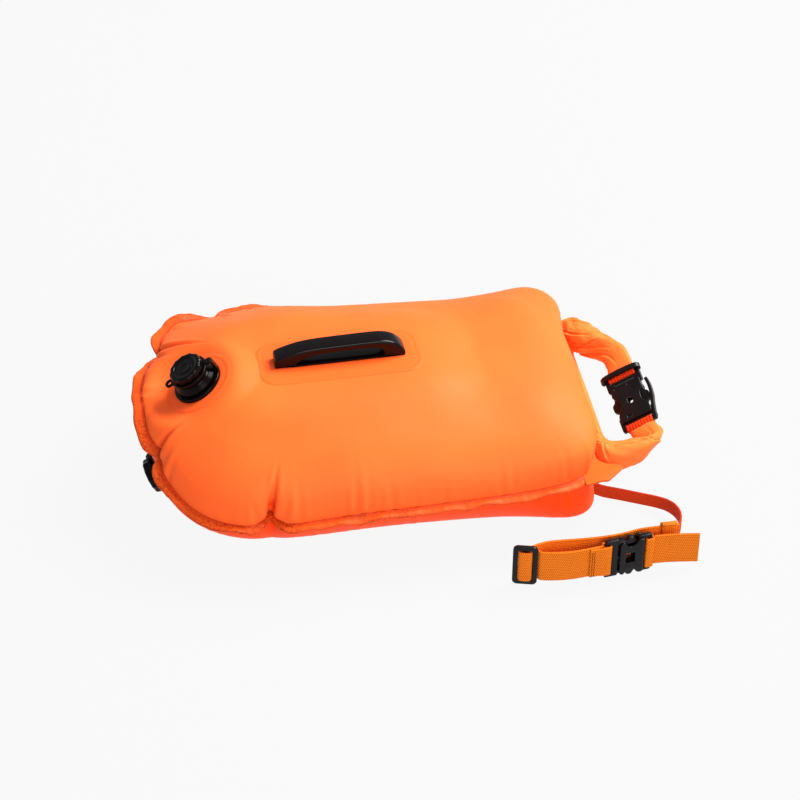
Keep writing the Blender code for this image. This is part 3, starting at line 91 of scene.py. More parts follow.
def make_camera():
    away = Vector((-math.sin(CAMERA_AZIMUTH) * math.cos(CAMERA_ELEVATION),
                   -math.cos(CAMERA_AZIMUTH) * math.cos(CAMERA_ELEVATION),
                   math.sin(CAMERA_ELEVATION)))
    facing = (-away).to_track_quat("-Z", "Y")
    right = facing @ Vector((1, 0, 0))
    up = facing @ Vector((0, 1, 0))
    middle = IMAGE_PIXELS / 2
    aim = -away * FOCAL_PIXELS + right * (middle - ORIGIN_PIXEL[0]) + up * (ORIGIN_PIXEL[1] - middle)
    data = bpy.data.cameras.new("camera")
    data.sensor_width = SENSOR_WIDTH
    data.lens = FOCAL_PIXELS * SENSOR_WIDTH / IMAGE_PIXELS
    data.clip_end = CAMERA_SIGHT
    made = add_object("camera", data)
    made.rotation_mode = "QUATERNION"
    made.rotation_quaternion = (-away).rotation_difference(aim) @ facing
    made.location = away * CAMERA_DISTANCE
    bpy.context.scene.camera = made


def area_light(name, place, target, size, power):
    data = bpy.data.lights.new(name, "AREA")
    data.shape = "RECTANGLE"
    data.size, data.size_y = size
    data.energy = power
    made = add_object(name, data)
    made.location = place
    made.rotation_euler = (Vector(target) - Vector(place)).to_track_quat("-Z", "Y").to_euler()


def make_stage():
    """A pale floor that glows evenly, a white world and two soft lights."""
    size, level = FLOOR_HALF_SIZE, -FLOOR_DEPTH
    mesh = bpy.data.meshes.new("floor")
    mesh.from_pydata([(-size, -size, level), (size, -size, level), (size, size, level), (-size, size, level)],
                     [], [(0, 1, 2, 3)])
    floor = add_object("floor", mesh)
    made = bpy.data.materials.new("floor")
    made.use_nodes = True
    set_inputs(made.node_tree.nodes["Principled BSDF"], {
        "Base Color": (FLOOR_GREY, FLOOR_GREY, FLOOR_GREY, 1), "Roughness": 0.9, "Specular IOR Level": 0.0,
        "Emission Color": WHITE, "Emission Strength": FLOOR_GLOW})
    mesh.materials.append(made)
    world = bpy.data.worlds.new("studio")
    world.use_nodes = True
    set_inputs(world.node_tree.nodes["Background"], {"Color": WHITE, "Strength": WORLD_GLOW})
    bpy.context.scene.world = world
    bpy.context.scene.view_settings.view_transform = "Standard"
    bpy.context.scene.view_settings.look = "None"
    for light in LIGHTS:
        area_light(*light)


make_camera()
make_stage()


# Materials. Helpers take numbers or sockets and hand on the socket that they make.

WEAVE_SCALE = 640.0
WEAVE_DEPTH = 0.00001
YARNS_PER_METRE = 620.0
SOLID = (1.0, 1.0, 1.0)


def new_material(name, colour, roughness, specular):
    made = bpy.data.materials.new(name)
    made.use_nodes = True
    shader = made.node_tree.nodes["Principled BSDF"]
    set_inputs(shader, {"Base Color": (*colour, 1), "Roughness": roughness, "Specular IOR Level": specular})
    return made, made.node_tree, shader


def node(tree, kind, inputs, **settings):
    """A node with its settings, its inputs linked to sockets or set to values."""
    made = tree.nodes.new(kind)
    for name, value in settings.items():
        setattr(made, name, value)
    for name, value in inputs.items():
        if isinstance(value, bpy.types.NodeSocket):
            tree.links.new(value, made.inputs[name])
        else:
            made.inputs[name].default_value = value
    return made


def worked_out(tree, operation, *values):
    return node(tree, "ShaderNodeMath", dict(enumerate(values)), operation=operation).outputs[0]


def object_place(tree):
    return tree.nodes.new("ShaderNodeTexCoord").outputs["Object"]


def uv_values(tree):
    """The two values of the UV map: metres along a piece, and the share across it."""
    uv = node(tree, "ShaderNodeUVMap", {}, uv_map="UVMap")
    split = node(tree, "ShaderNodeSeparateXYZ", {0: uv.outputs["UV"]})
    return split.outputs["X"], split.outputs["Y"]


def noise(tree, place, scale, detail, roughness):
    return node(tree, "ShaderNodeTexNoise", {"Vector": place, "Scale": scale, "Detail": detail,
                                             "Roughness": roughness}).outputs["Fac"]


def colour_ramp(tree, amount, stops):
    made = node(tree, "ShaderNodeValToRGB", {"Fac": amount})
    elements = made.color_ramp.elements
    for end in (0, -1):
        elements[end].position = stops[end][0]
        elements[end].color = (*stops[end][1], 1)
    for place, colour in stops[1:-1]:
        elements.new(place).color = (*colour, 1)
    return made.outputs["Color"]


def changed(colour, factor):
    return tuple(min(1.0, value * factor) for value in colour)


def bumped(tree, shader, heights):
    """Bumps one after another: (height, distance, strength) each."""
    before = {}
    for height, distance, strength in heights:
        inputs = {"Height": height, "Distance": distance, "Strength": strength}
        before = {"Normal": node(tree, "ShaderNodeBump", inputs | before).outputs["Normal"]}
    tree.links.new(before["Normal"], shader.inputs["Normal"])


def uneven_roughness(tree, shader, amount, low, high):
    spread = node(tree, "ShaderNodeMapRange", {"Value": amount, "To Min": low, "To Max": high})
    tree.links.new(spread.outputs["Result"], shader.inputs["Roughness"])


def coated_fabric(name, light, deep, roughness):
    """Coated nylon: faint cloudy colour, a fine weave and a satin coat."""
    made, tree, shader = new_material(name, light, roughness, 0.09)
    place = object_place(tree)
    cloud = noise(tree, place, 9.0, 4.0, 0.55)
    colour = colour_ramp(tree, cloud, [(0.30, deep), (0.52, light), (0.8, changed(light, 1.05))])
    tree.links.new(colour, shader.inputs["Base Color"])
    uneven_roughness(tree, shader, noise(tree, place, 60.0, 3.0, 0.6), roughness - 0.06, roughness + 0.10)
    across, along = [node(tree, "ShaderNodeTexWave", {"Vector": place, "Scale": WEAVE_SCALE},
                          wave_type="BANDS", bands_direction=axis).outputs["Fac"] for axis in "XY"]
    weave = worked_out(tree, "MULTIPLY", across, along)
    bumped(tree, shader, [(weave, WEAVE_DEPTH, 0.35), (noise(tree, place, 130.0, 3.0, 0.5), 0.0004, 0.16)])
    set_inputs(shader, {"Sheen Weight": 0.05, "Sheen Roughness": 0.5, "Sheen Tint": (1.0, 0.45, 0.2, 1)})
    return made


def webbing_material(name, light, deep, rows):
    """Woven polyester webbing from its UV map, with this many rows of yarn across it, and painted shade in
    the gaps between the yarns.
    """
    made, tree, shader = new_material(name, light, 0.72, 0.10)
    metres, share = uv_values(tree)
    along = worked_out(tree, "MULTIPLY", metres, YARNS_PER_METRE)
    across = worked_out(tree, "MULTIPLY", share, rows)
    half_step = worked_out(tree, "MULTIPLY", worked_out(tree, "FLOOR", across), 0.5)

    def hump(value):
        centred = worked_out(tree, "SUBTRACT", worked_out(tree, "FRACT", value), 0.5)
        return worked_out(tree, "MULTIPLY_ADD", worked_out(tree, "MULTIPLY", centred, centred), -4.0, 1.0)

    yarn = worked_out(tree, "MULTIPLY", hump(worked_out(tree, "ADD", along, half_step)), hump(across))
    place = object_place(tree)
    fibre = noise(tree, place, 1400.0, 3.0, 0.6)
    wear = noise(tree, place, 40.0, 3.0, 0.6)
    # The colour ramp paints shade between the yarns: darkest where the yarn is lowest, palest on its top.
    colour = colour_ramp(tree, worked_out(tree, "MULTIPLY_ADD", wear, 0.22, yarn),
                         [(0.05, changed(deep, 0.45)), (0.35, deep), (0.8, light)])
    tree.links.new(colour, shader.inputs["Base Color"])
    bumped(tree, shader, [(yarn, 0.0005, 0.9), (fibre, 0.0001, 0.4)])
    set_inputs(shader, {"Sheen Weight": 0.05, "Sheen Tint": (1.0, 0.5, 0.2, 1)})
    return made


def moulded_plastic(name, colour, roughness, grain=0.00003, specular=0.20):
    """Moulded black plastic: fine grain, and an uneven shade and gloss."""
    made, tree, shader = new_material(name, colour, roughness, specular)
    place = object_place(tree)
    worn = noise(tree, place, 70.0, 4.0, 0.6)
    uneven_roughness(tree, shader, worn, roughness - 0.08, roughness + 0.10)
    shade = colour_ramp(tree, worn, [(0.35, changed(colour, 0.7)), (0.75, changed(colour, 1.7))])
    tree.links.new(shade, shader.inputs["Base Color"])
    bumped(tree, shader, [(noise(tree, place, 1500.0, 2.0, 0.5), grain, 0.5)])
    return made


def edge_material():
    """Welded edge from its UV map: painted shade darkest in the crease where it meets the panels, a little
    darker at its outer rim, and mottled in places like a sealed band.
    """
    made, tree, shader = new_material("welded_edge", (0.74, 0.135, 0.012), 0.48, 0.14)
    place = object_place(tree)
    # Painted shade across the band: darkest in the crease where it meets the panels, and a little darker at
    # its outer rim.
    painted_shade_strip = colour_ramp(tree, uv_values(tree)[1], [
        (0.0, (0.62, 0.045, 0.006)), (0.12, (0.62, 0.048, 0.005)), (0.22, (0.66, 0.060, 0.005)),
        (0.70, (0.72, 0.082, 0.006)), (1.0, (0.62, 0.060, 0.005))])
    spots = colour_ramp(tree, noise(tree, place, 620.0, 2.0, 0.6),
                        [(0.40, (0.52, 0.36, 0.32)), (0.54, SOLID)])
    amount = colour_ramp(tree, noise(tree, place, 26.0, 2.0, 0.5),
                         [(0.38, changed(SOLID, 0.12)), (0.62, changed(SOLID, 0.80))])
    mix = node(tree, "ShaderNodeMix", {0: amount, 6: painted_shade_strip, 7: spots},
               data_type="RGBA", blend_type="MULTIPLY")
    tree.links.new(mix.outputs[2], shader.inputs["Base Color"])
    bumped(tree, shader, [(noise(tree, place, 900.0, 2.0, 0.5), 0.0001, 0.35),
                          (noise(tree, place, 150.0, 3.0, 0.55), 0.0010, 0.30)])
    return made


PANEL = coated_fabric("panel_fabric", (0.95, 0.119, 0.019), (0.93, 0.107, 0.017), 0.50)
# The lower chamber's copy of the panel fabric is darker: painted shade, as that chamber lies under the upper
# one.
LOWER_PAINTED_SHADE = coated_fabric("lower_fabric_painted_shade", (0.92, 0.060, 0.004), (0.90, 0.052, 0.004), 0.50)
# The roll's copy of the panel fabric is lighter: painted light on the roll, its arms and the other shell
# solids.
ARM_PAINTED_LIGHT = coated_fabric("roll_fabric_painted_light", (0.96, 0.160, 0.028), (0.94, 0.140, 0.024), 0.42)
SEAM = edge_material()
PATCH = coated_fabric("patch_fabric", (0.95, 0.106, 0.016), (0.93, 0.097, 0.014), 0.42)
EAR = coated_fabric("neck_edge_fabric", (0.66, 0.085, 0.008), (0.52, 0.055, 0.006), 0.5)
LINER = coated_fabric("liner_fabric", (0.85, 0.12, 0.03), (0.75, 0.10, 0.025), 0.5)
WEBBING = webbing_material("belt_webbing", (0.93, 0.222, 0.008), (0.66, 0.122, 0.004), 17.0)
RED_WEBBING = webbing_material("leash_webbing", (0.68, 0.044, 0.003), (0.48, 0.026, 0.002), 9.0)
PLASTIC = moulded_plastic("black_plastic", (0.0032, 0.0022, 0.0026), 0.30)
GLOSS = moulded_plastic("valve_plastic", (0.0016, 0.0010, 0.0011), 0.15, 0.00001, 0.11)
GRIP = moulded_plastic("handle_plastic", (0.0022, 0.0010, 0.0012), 0.16, 0.00001, 0.17)
RUBBER = moulded_plastic("black_rubber", (0.010, 0.009, 0.009), 0.62)


# Meshes and builders for the pieces

TINY = 1e-9
BEVEL_STEPS = 3
STRAP_EDGE = ((-1.0, 0.0), (-0.992, 0.62), (-0.965, 0.93), (-0.90, 1.0))


def mesh_object(name, points, faces, material, uvs=None):
    """A smooth shaded mesh. The UVs are given by point."""
    mesh = bpy.data.meshes.new(name)
    mesh.from_pydata([tuple(map(float, point)) for point in points], [], faces)
    if uvs is not None:
        layer = mesh.uv_layers.new(name="UVMap")
        for loop in mesh.loops:
            layer.data[loop.index].uv = uvs[loop.vertex_index]
    mesh.shade_smooth()
    mesh.materials.append(material)
    return add_object(name, mesh)


def face_out(piece):
    shape = bmesh.new()
    shape.from_mesh(piece.data)
    bmesh.ops.recalc_face_normals(shape, faces=shape.faces)
    shape.to_mesh(piece.data)
    shape.free()
    return piece


def sharpen(piece, degrees=38):
    piece.data.set_sharp_from_angle(angle=math.radians(degrees))
    return piece


def place_on(piece, body, slot, *nodes):
    """The piece moves with a body and stands in for CAD nodes. Its slot is not used."""
    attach(piece, body)
    if nodes:
        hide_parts(*nodes)
    return piece


def blend_on(piece, slot, nodes, *ends):
    """The piece stands in for CAD nodes, with its transform baked into its mesh. Its ends are not used."""
    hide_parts(*nodes)
    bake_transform(piece)


def grid_faces(rows, columns):
    """Quads between closed rings of points."""
    faces = []
    for row in range(rows - 1):
        for column in range(columns):
            after = (column + 1) % columns
            faces.append((row * columns + column, row * columns + after,
                          (row + 1) * columns + after, (row + 1) * columns + column))
    return faces


def smooth_route(route, steps):
    """Points on a Catmull-Rom curve through the route."""
    places = [Vector(place) for place in route]
    padded = [places[0] * 2 - places[1]] + places + [places[-1] * 2 - places[-2]]
    found = []
    for span in range(1, len(padded) - 2):
        before, start, end, after = padded[span - 1:span + 3]
        for step in range(steps):
            t = step / steps
            found.append(0.5 * (2 * start + (end - before) * t
                                + (2 * before - 5 * start + 4 * end - after) * t ** 2
                                + (3 * start - before - 3 * end + after) * t ** 3))
    found.append(padded[-2].copy())
    return found


def rounded(corners, radius, steps=4):
    """The same closed line with each corner turned into a small curve."""
    found = []
    line = [np.array(corner, dtype=float) for corner in corners]
    for index, corner in enumerate(line):
        ends = []
        for way in (line[index - 1] - corner, line[(index + 1) % len(line)] - corner):
            length = np.linalg.norm(way)
            ends.append(corner + way / max(length, TINY) * min(radius, 0.45 * length))
        for step in range(steps + 1):
            t = step / steps
            found.append(tuple((1 - t) ** 2 * ends[0] + 2 * t * (1 - t) * corner + t * t * ends[1]))
    return found


def transformed(points, matrix):
    return [matrix @ Vector(point) for point in points]


def frame_matrix(place, along, out):
    """Local X along, Z out of the face."""
    along, out = Vector(along).normalized(), Vector(out).normalized()
    beside = out.cross(along)
    return Matrix(((along.x, beside.x, out.x, place[0]), (along.y, beside.y, out.y, place[1]),
                   (along.z, beside.z, out.z, place[2]), (0, 0, 0, 1)))


def lathe(name, profile, material, matrix, sides=96, radius_at=None):
    """A closed profile of (radius, height) points turned round local Z."""
    points, faces = [], []
    rows = len(profile)
    for side in range(sides):
        angle = 2 * math.pi * side / sides
        after = (side + 1) % sides
        for row, (radius, height) in enumerate(profile):
            reach = radius_at(radius, height, angle) if radius_at else radius
            points.append((reach * math.cos(angle), reach * math.sin(angle), height))
            below = (row + 1) % rows
            faces.append((side * rows + row, side * rows + below, after * rows + below, after * rows + row))
    return sharpen(face_out(mesh_object(name, transformed(points, matrix), faces, material)))


def merge(name, pieces):
    """One object from several with the same material."""
    shape = bmesh.new()
    for piece in pieces:
        shape.from_mesh(piece.data)
    mesh = bpy.data.meshes.new(name)
    shape.to_mesh(mesh)
    shape.free()
    for made in pieces[0].data.materials:
        mesh.materials.append(made)
    joined = add_object(name, mesh)
    for piece in pieces:
        bpy.data.objects.remove(piece, do_unlink=True)
    return joined


def loft(name, rings, material, uvs=None, capped=True):
    """A tube through rings of points, closed at both ends when capped."""
    count = len(rings[0])
    points = [point for ring in rings for point in ring]
    faces = grid_faces(len(rings), count)
    if capped:
        faces.append(tuple(range(count)))
        faces.append(tuple(range(len(points) - count, len(points))))
    return face_out(mesh_object(name, points, faces, material, uvs))


def strap(name, places, width, thickness, material, across=(0, 0, 1)):
    """Flat woven webbing along its centre line. The UV map runs in metres along it and 0 to 1 across."""
    side = list(STRAP_EDGE) + [(share, 1.0) for share in (-0.6, -0.3, 0.0, 0.3, 0.6)]
    side += [(-share, half) for share, half in reversed(STRAP_EDGE)]
    section = side + [(share, -half) for share, half in reversed(side[1:-1])]
    rings, uvs = [], []
    travelled = 0.0
    beside = Vector(across)
    places = [Vector(place) for place in places]
    for index, place in enumerate(places):
        if index:
            travelled += (place - places[index - 1]).length
        ahead = (places[min(index + 1, len(places) - 1)] - places[max(index - 1, 0)]).normalized()
        face = ahead.cross(beside).normalized()
        edge = face.cross(ahead).normalized()
        if edge.dot(beside) < 0:
            edge = -edge
        rings.append([place + edge * share * width / 2 + face * half * thickness / 2
                      for share, half in section])
        uvs.extend((travelled, (share + 1) / 2) for share, half in section)
    return loft(name, rings, material, uvs)


def strap_in(matrix, *values):
    """A strap whose line is in the matrix's own axes."""
    made = strap(*values)
    made.data.transform(matrix)
    return made


def plate(name, outline, holes, low, high, bevel, material, matrix):
    """A flat plate with holes and rounded edges, from outlines of (x, y) points."""
    curve = bpy.data.curves.new(name, "CURVE")
    curve.dimensions = "2D"
    curve.fill_mode = "BOTH"
    for line in [outline, *holes]:
        spline = curve.splines.new("POLY")
        spline.points.add(len(line) - 1)
        for point, (x, y) in zip(spline.points, line):
            point.co = (x, y, 0, 1)
        spline.use_cyclic_u = True
    curve.extrude = max((high - low) / 2 - bevel, 1e-6)
    curve.bevel_depth = bevel
    curve.bevel_resolution = BEVEL_STEPS
    curve.offset = -bevel
    holder = add_object(name + "_curve", curve)
    bpy.context.view_layer.update()
    mesh = bpy.data.meshes.new_from_object(holder.evaluated_get(bpy.context.evaluated_depsgraph_get()))
    bpy.data.objects.remove(holder, do_unlink=True)
    shape = bmesh.new()
    shape.from_mesh(mesh)
    bmesh.ops.remove_doubles(shape, verts=shape.verts, dist=1e-6)
    bmesh.ops.recalc_face_normals(shape, faces=shape.faces)
    shape.to_mesh(mesh)
    shape.free()
    mesh.transform(matrix @ Matrix.Translation((0, 0, (low + high) / 2)))
    mesh.materials.clear()
    mesh.materials.append(material)
    mesh.shade_smooth()
    return sharpen(add_object(name, mesh), 32)


def round_rectangle(length, width, corner, steps=8, centre=(0.0, 0.0)):
    points = []
    for quarter in range(4):
        side_x = 1 if quarter in (0, 3) else -1
        side_y = 1 if quarter in (0, 1) else -1
        for step in range(steps + 1):
            angle = math.pi / 2 * (quarter + step / steps)
            points.append((centre[0] + side_x * (length / 2 - corner) + corner * math.cos(angle),
                           centre[1] + side_y * (width / 2 - corner) + corner * math.sin(angle)))
    return points


def slab(name, size, corner, steps, centre, half_thickness, bevel, matrix, holes=()):
    """A rounded rectangle of black plastic, as thick above its middle plane as below."""
    outline = round_rectangle(*size, corner, steps, centre)
    return plate(name, outline, holes, -half_thickness, half_thickness, bevel, PLASTIC, matrix)


# The bag's surface, from the same sizes as its solids

SEAM_HEIGHT = 0.062
BAG_HALF_WIDTH = 0.1235
CLOSED_END_X = -0.184
ROLL_END_X = 0.188
WIDEST_X = -0.055
CLOSED_END_POWER = 2.6
ROLL_END_POWER = 9.0
ROLL_END_TAPER = 0.035
SPINE_START_X = -0.072
SPINE_END_X = 0.098
SEAM_THICKNESS = 0.0024
LAYER_GAP = 0.0006
OUTLINE_SAMPLES = 6000
HALF_STEPS = 300
UPPER_ROWS = 78
LOWER_ROWS = 56
SIDE_LIFT = 0.015
SIDE_REACH = 0.160
BACK_TWIST = 0.024
BACK_REACH = 0.070
FRONT_TWIST = 0.025
TIP_LIFT = 0.019
UPPER_RISE = 0.064
UPPER_FALL = 0.006
UPPER_SWELL = 0.007
LOWER_RISE = SEAM_HEIGHT + 0.0080
LOWER_FALL = 0.0070
CORNER_DEPTH = 0.046
CORNER_BULGE = 0.0080
HIGHEST_ANGLE = 0.985 * np.pi / 2
EVEN_REACH = 15.0
SPINE_LENGTH = SPINE_END_X - SPINE_START_X


def eased(share):
    share = np.clip(share, 0.0, 1.0)
    return share * share * (3.0 - 2.0 * share)


def seam_height(x, y):
    """The seam lies level at the roll end, and rises and twists towards the closed end."""
    side_reach = np.maximum(0.0, -x / SIDE_REACH)
    tip_reach = np.maximum(0.0, (WIDEST_X - x) / (WIDEST_X - CLOSED_END_X))
    beside = y / BAG_HALF_WIDTH
    twist = np.where(beside > 0, BACK_TWIST * eased(-x / BACK_REACH), FRONT_TWIST * side_reach ** 1.2)
    lift = SIDE_LIFT * side_reach + twist * beside
    return SEAM_HEIGHT + lift + TIP_LIFT * tip_reach ** 3 * (1.0 - beside * beside)


def half_outline(count):
    """Points, outward directions and distances along the outline from the closed tip to the roll end."""
    angle = np.pi * (1.0 - np.arange(OUTLINE_SAMPLES + 1) / OUTLINE_SAMPLES)
    closed = angle > np.pi / 2
    power = np.where(closed, CLOSED_END_POWER, ROLL_END_POWER)
    reach = np.where(closed, WIDEST_X - CLOSED_END_X, ROLL_END_X - WIDEST_X)
    taper = np.where(closed, 0.0, ROLL_END_TAPER)
    along = np.sign(np.cos(angle)) * np.abs(np.cos(angle)) ** (2 / power)
    beside = np.maximum(np.sin(angle), 0.0) ** (2 / power)
    line = np.stack([WIDEST_X + reach * along, BAG_HALF_WIDTH * beside * (1.0 - taper * along * along)], 1)
    travelled = np.concatenate([[0.0], np.cumsum(np.linalg.norm(np.diff(line, axis=0), axis=1))])
    target = np.linspace(0.0, travelled[-1], count + 1)
    points = np.stack([np.interp(target, travelled, line[:, 0]), np.interp(target, travelled, line[:, 1])], 1)
    before = np.vstack([[points[1, 0], -points[1, 1]], points[:-1]])
    after = np.vstack([points[1:], [points[-2, 0], -points[-2, 1]]])
    ahead = after - before
    ahead = ahead / np.linalg.norm(ahead, axis=1)[:, None]
    return points, np.stack([-ahead[:, 1], ahead[:, 0]], 1), target


def whole_ring(half):
    """Closes a half outline with its mirror image."""
    mirrored = half[1:-1][::-1] * (1, -1)
    return np.concatenate([half, mirrored])


half_points, half_outward, half_distance = half_outline(HALF_STEPS)
EDGE = whole_ring(half_points)
OUTWARD = whole_ring(half_outward)
ALONG = np.concatenate([half_distance, -half_distance[1:-1][::-1]])
COLUMNS = len(EDGE)
OUTLINE_LENGTH = 2 * half_distance[-1]

# Depth, distance along the seam, reach before and after it, sharpness. The front's distances are negative.
PUCKERS = ((0.0165, 0.075, 0.022, 0.013, 1.35), (0.0070, 0.153, 0.0100, 0.0100, 1.6),
           (0.0120, -0.043, 0.0080, 0.0080, 1.3), (0.0170, -0.168, 0.0078, 0.0078, 1.3))
SEAM_WAVES = ((-0.0035, 0.121, 0.011), (0.0012, 0.040, 0.020))


def bell(value, centre, spread):
    return np.exp(-((value - centre) / spread) ** 2)


def notch(centre, before, after, sharpness):
    """1 at one place along the seam, falling off on each side over its own length."""
    reach = np.where(ALONG < centre, before, after)
    return np.exp(-np.abs((ALONG - centre) / reach) ** sharpness)


# How far the puckers draw the seam in.
PULL = sum(depth * notch(*shape) for depth, *shape in PUCKERS)
PULL += sum(depth * bell(ALONG, *shape) for depth, *shape in SEAM_WAVES)


def wavy(seed, *wavelengths):
    """A repeatable uneven wave along the closed outline, from about -1 to 1."""
    source = np.random.default_rng(seed)
    total = np.zeros_like(ALONG)
    for wavelength in wavelengths:
        cycles = max(1, round(OUTLINE_LENGTH / wavelength))
        phase = source.uniform(0, 2 * np.pi)
        total += np.sin(2 * np.pi * cycles * ALONG / OUTLINE_LENGTH + phase) / len(wavelengths) ** 0.5
    return total


def crown(powers, rows, rise_of, direction, bulge_size):
    """Rings of points from the seam to the crown line, as an array of rows, columns and 3 values.

    The powers say how full the section is at the closed tip, at the side near each end, and at the roll.
    """
    edge_x, edge_y = EDGE.T
    spine_x = np.clip(edge_x, SPINE_START_X, SPINE_END_X)
    spine = np.stack([spine_x, np.zeros_like(spine_x)], 1)
    reach = EDGE - spine
    reach = reach / np.maximum(np.linalg.norm(reach, axis=1), TINY)[:, None]
    tip_share = np.maximum(0.0, -reach[:, 0]) ** 5
    roll_share = np.maximum(0.0, reach[:, 0]) ** 2
    spine_share = (spine_x - SPINE_START_X) / SPINE_LENGTH
    tip, side_closed, side_roll, roll = powers
    side = side_closed + (side_roll - side_closed) * spine_share
    power = side + (tip - side) * tip_share + (roll - side) * roll_share
    height_power = 2 / power
    if direction > 0:
        slack_corner = eased(edge_x / -0.110) * np.clip(edge_y / 0.060, 0.0, 1.0)
        full_corner = bell(edge_x, 0.178, 0.026) * bell(edge_y, 0.112, CORNER_DEPTH)
        height_power = (height_power + (2.1 - height_power) * slack_corner) * (1.0 - 0.04 * full_corner)
        power = (power + (2.0 - power) * slack_corner) * (1.0 + 0.28 * full_corner)
    else:
        full_corner = bell(edge_x, 0.176, 0.034) * bell(edge_y, -0.108, CORNER_DEPTH)
        lean_side = bell(edge_x, 0.050, 0.075) * np.clip(-edge_y / 0.080, 0.0, 1.0)
        height_power = height_power * (1.0 - 0.20 * full_corner + 0.12 * lean_side)
    end_shape = 0.40 + 0.65 * eased((np.abs(edge_y) - 0.035) / 0.060)
    bulge_at = bulge_size * roll_share * end_shape + CORNER_BULGE * full_corner
    rings = []
    for row in range(rows + 1):
        share = row / rows
        angle = HIGHEST_ANGLE * share ** 0.92
        outward_share = max(np.cos(angle), 0.0) ** (2 / power)
        height_share = np.sin(angle) ** height_power
        fade = max(0.0, 1.0 - share / 0.46) ** 1.6
        place = EDGE - OUTWARD * (PULL * fade)[:, None]
        swell = min(1.0, 4.0 * angle / np.pi)
        bulge = bulge_at * 4.0 * swell * (1.0 - swell)
        flat = spine + (place - spine) * outward_share[:, None] + OUTWARD * bulge[:, None]
        height = seam_height(flat[:, 0], flat[:, 1]) + direction * (
            SEAM_THICKNESS / 2 + LAYER_GAP + height_share * rise_of(spine_x))
        rings.append(np.column_stack([flat, height]))
    return soften(np.array(rings))


def soften(rings):
    """Evens the surface along its rings, more the further it lies from the seam."""
    waves = np.fft.fftfreq(COLUMNS) * 2 * np.pi
    change = np.exp(-0.5 * (waves * EVEN_REACH) ** 2)[None, :, None]
    smooth = np.real(np.fft.ifft(np.fft.fft(rings, axis=1) * change, axis=1))
    share = eased((np.arange(len(rings)) / (len(rings) - 1) - 0.16) / 0.30)[:, None, None]
    return rings + (smooth - rings) * share


def upper_rise(x):
    share = (x - SPINE_START_X) / SPINE_LENGTH
    return UPPER_RISE - UPPER_FALL * share + UPPER_SWELL * np.sin(np.pi * np.clip(share, 0, 1))


def lower_rise(x):
    return LOWER_RISE - LOWER_FALL * eased((x - SPINE_START_X) / SPINE_LENGTH * 2)


def normals_of(rings, direction):
    along = np.roll(rings, -1, axis=1) - np.roll(rings, 1, axis=1)
    up = np.empty_like(rings)
    up[1:-1] = rings[2:] - rings[:-2]
    up[0] = rings[1] - rings[0]
    up[-1] = rings[-1] - rings[-2]
    normal = np.cross(up, along) * direction
    length = np.linalg.norm(normal, axis=2)[..., None]
    return normal / np.maximum(length, TINY * TINY)


def surface_distance(rings):
    steps = np.linalg.norm(np.diff(rings, axis=0), axis=2)
    return np.concatenate([np.zeros((1, rings.shape[1])), np.cumsum(steps, axis=0)])


def crease(rings, start, end, depth, width):
    """A groove from start to end over the surface, seen from above, deepest at its start."""
    start, end = np.array(start), np.array(end)
    run = end - start
    length = np.linalg.norm(run)
    offset = rings[..., :2] - start
    along = offset @ (run / length)
    across = offset @ np.array([-run[1], run[0]]) / length
    share = np.clip(along / length, -0.3, 1.3)
    body = np.where(share < 0, np.maximum(0, 1 + share / 0.3), np.maximum(0, 1 - share))
    sharp = np.exp(-np.abs(across / width) ** 1.3)
    shoulder = 0.35 * np.exp(-((np.abs(across) - 2.4 * width) / (1.3 * width)) ** 2)
    return -depth * body * (sharp - shoulder)


def fold(distance, at, reach, depth, width, lean, ridge):
    """A sharp fold that runs up from the seam at one place, with a soft ridge on each side."""
    across = ALONG[None, :] - at - lean * distance
    body = np.clip(1.0 - distance / reach, 0.0, 1.0) ** 1.2
    spread = width * (0.55 + 0.45 * body)
    valley = np.exp(-np.abs(across / spread) ** 1.4)
    shoulder = np.exp(-((np.abs(across) - 2.6 * spread) / (1.5 * spread)) ** 2)
    held = np.minimum(1.0, 0.35 + distance / 0.006)
    return depth * body * held * (ridge * shoulder - valley)


def seam_puckers(distance, seed, size, reach):
    """Small gathers that run in from the welded edge, in uneven groups."""
    fine = wavy(seed, 0.0095, 0.0122, 0.0151)
    groups = np.clip(0.45 + 0.75 * wavy(seed + 1, 0.060, 0.095, 0.21), 0.05, 1.5)
    fine = np.sign(fine) * np.abs(fine) ** 1.2
    fade = np.exp(-(distance / reach) ** 1.2) * np.minimum(1, distance / 0.003)
    return size * (fine * groups)[None, :] * fade


def close_crown(rings):
    """Faces between the two sides of the last ring, which lie on the crown line."""
    last = (len(rings) - 1) * COLUMNS
    faces = []
    for step in range(COLUMNS // 2):
        corners = [last + step, last + step + 1, last + (COLUMNS - step - 1) % COLUMNS,
                   last + (COLUMNS - step) % COLUMNS]
        faces.append(tuple(dict.fromkeys(corners)))
    return faces


def valve_frame(place, tilt):
    axis = Vector((-math.sin(tilt), 0.0, math.cos(tilt)))
    beside = Vector((math.cos(tilt), 0.0, math.sin(tilt)))
    return Matrix(((beside.x, 0.0, axis.x, place[0]),
                   (0.0, 1.0, 0.0, place[1]),
                   (beside.z, 0.0, axis.z, place[2]),
                   (0.0, 0.0, 0.0, 1.0)))


UPPER_VALVE = valve_frame((-0.136197, 0.0, 0.120401), math.radians(31))
LOWER_VALVE = valve_frame((-0.160828, 0.0, 0.031844), math.radians(115))
VALVE_PATCH_RADIUS = 0.0315
VALVE_EASE = 0.022
VALVE_NEAR = 0.03
SEAT_GAP = 0.0001
HANDLE_CENTRE_X = -0.016
HANDLE_SEAT_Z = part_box("handle_patch")[0].z - 0.0003
HANDLE_FLAT = (0.064, 0.022)
HANDLE_EASE = 0.060
CROWN_FROM_Z = 0.10


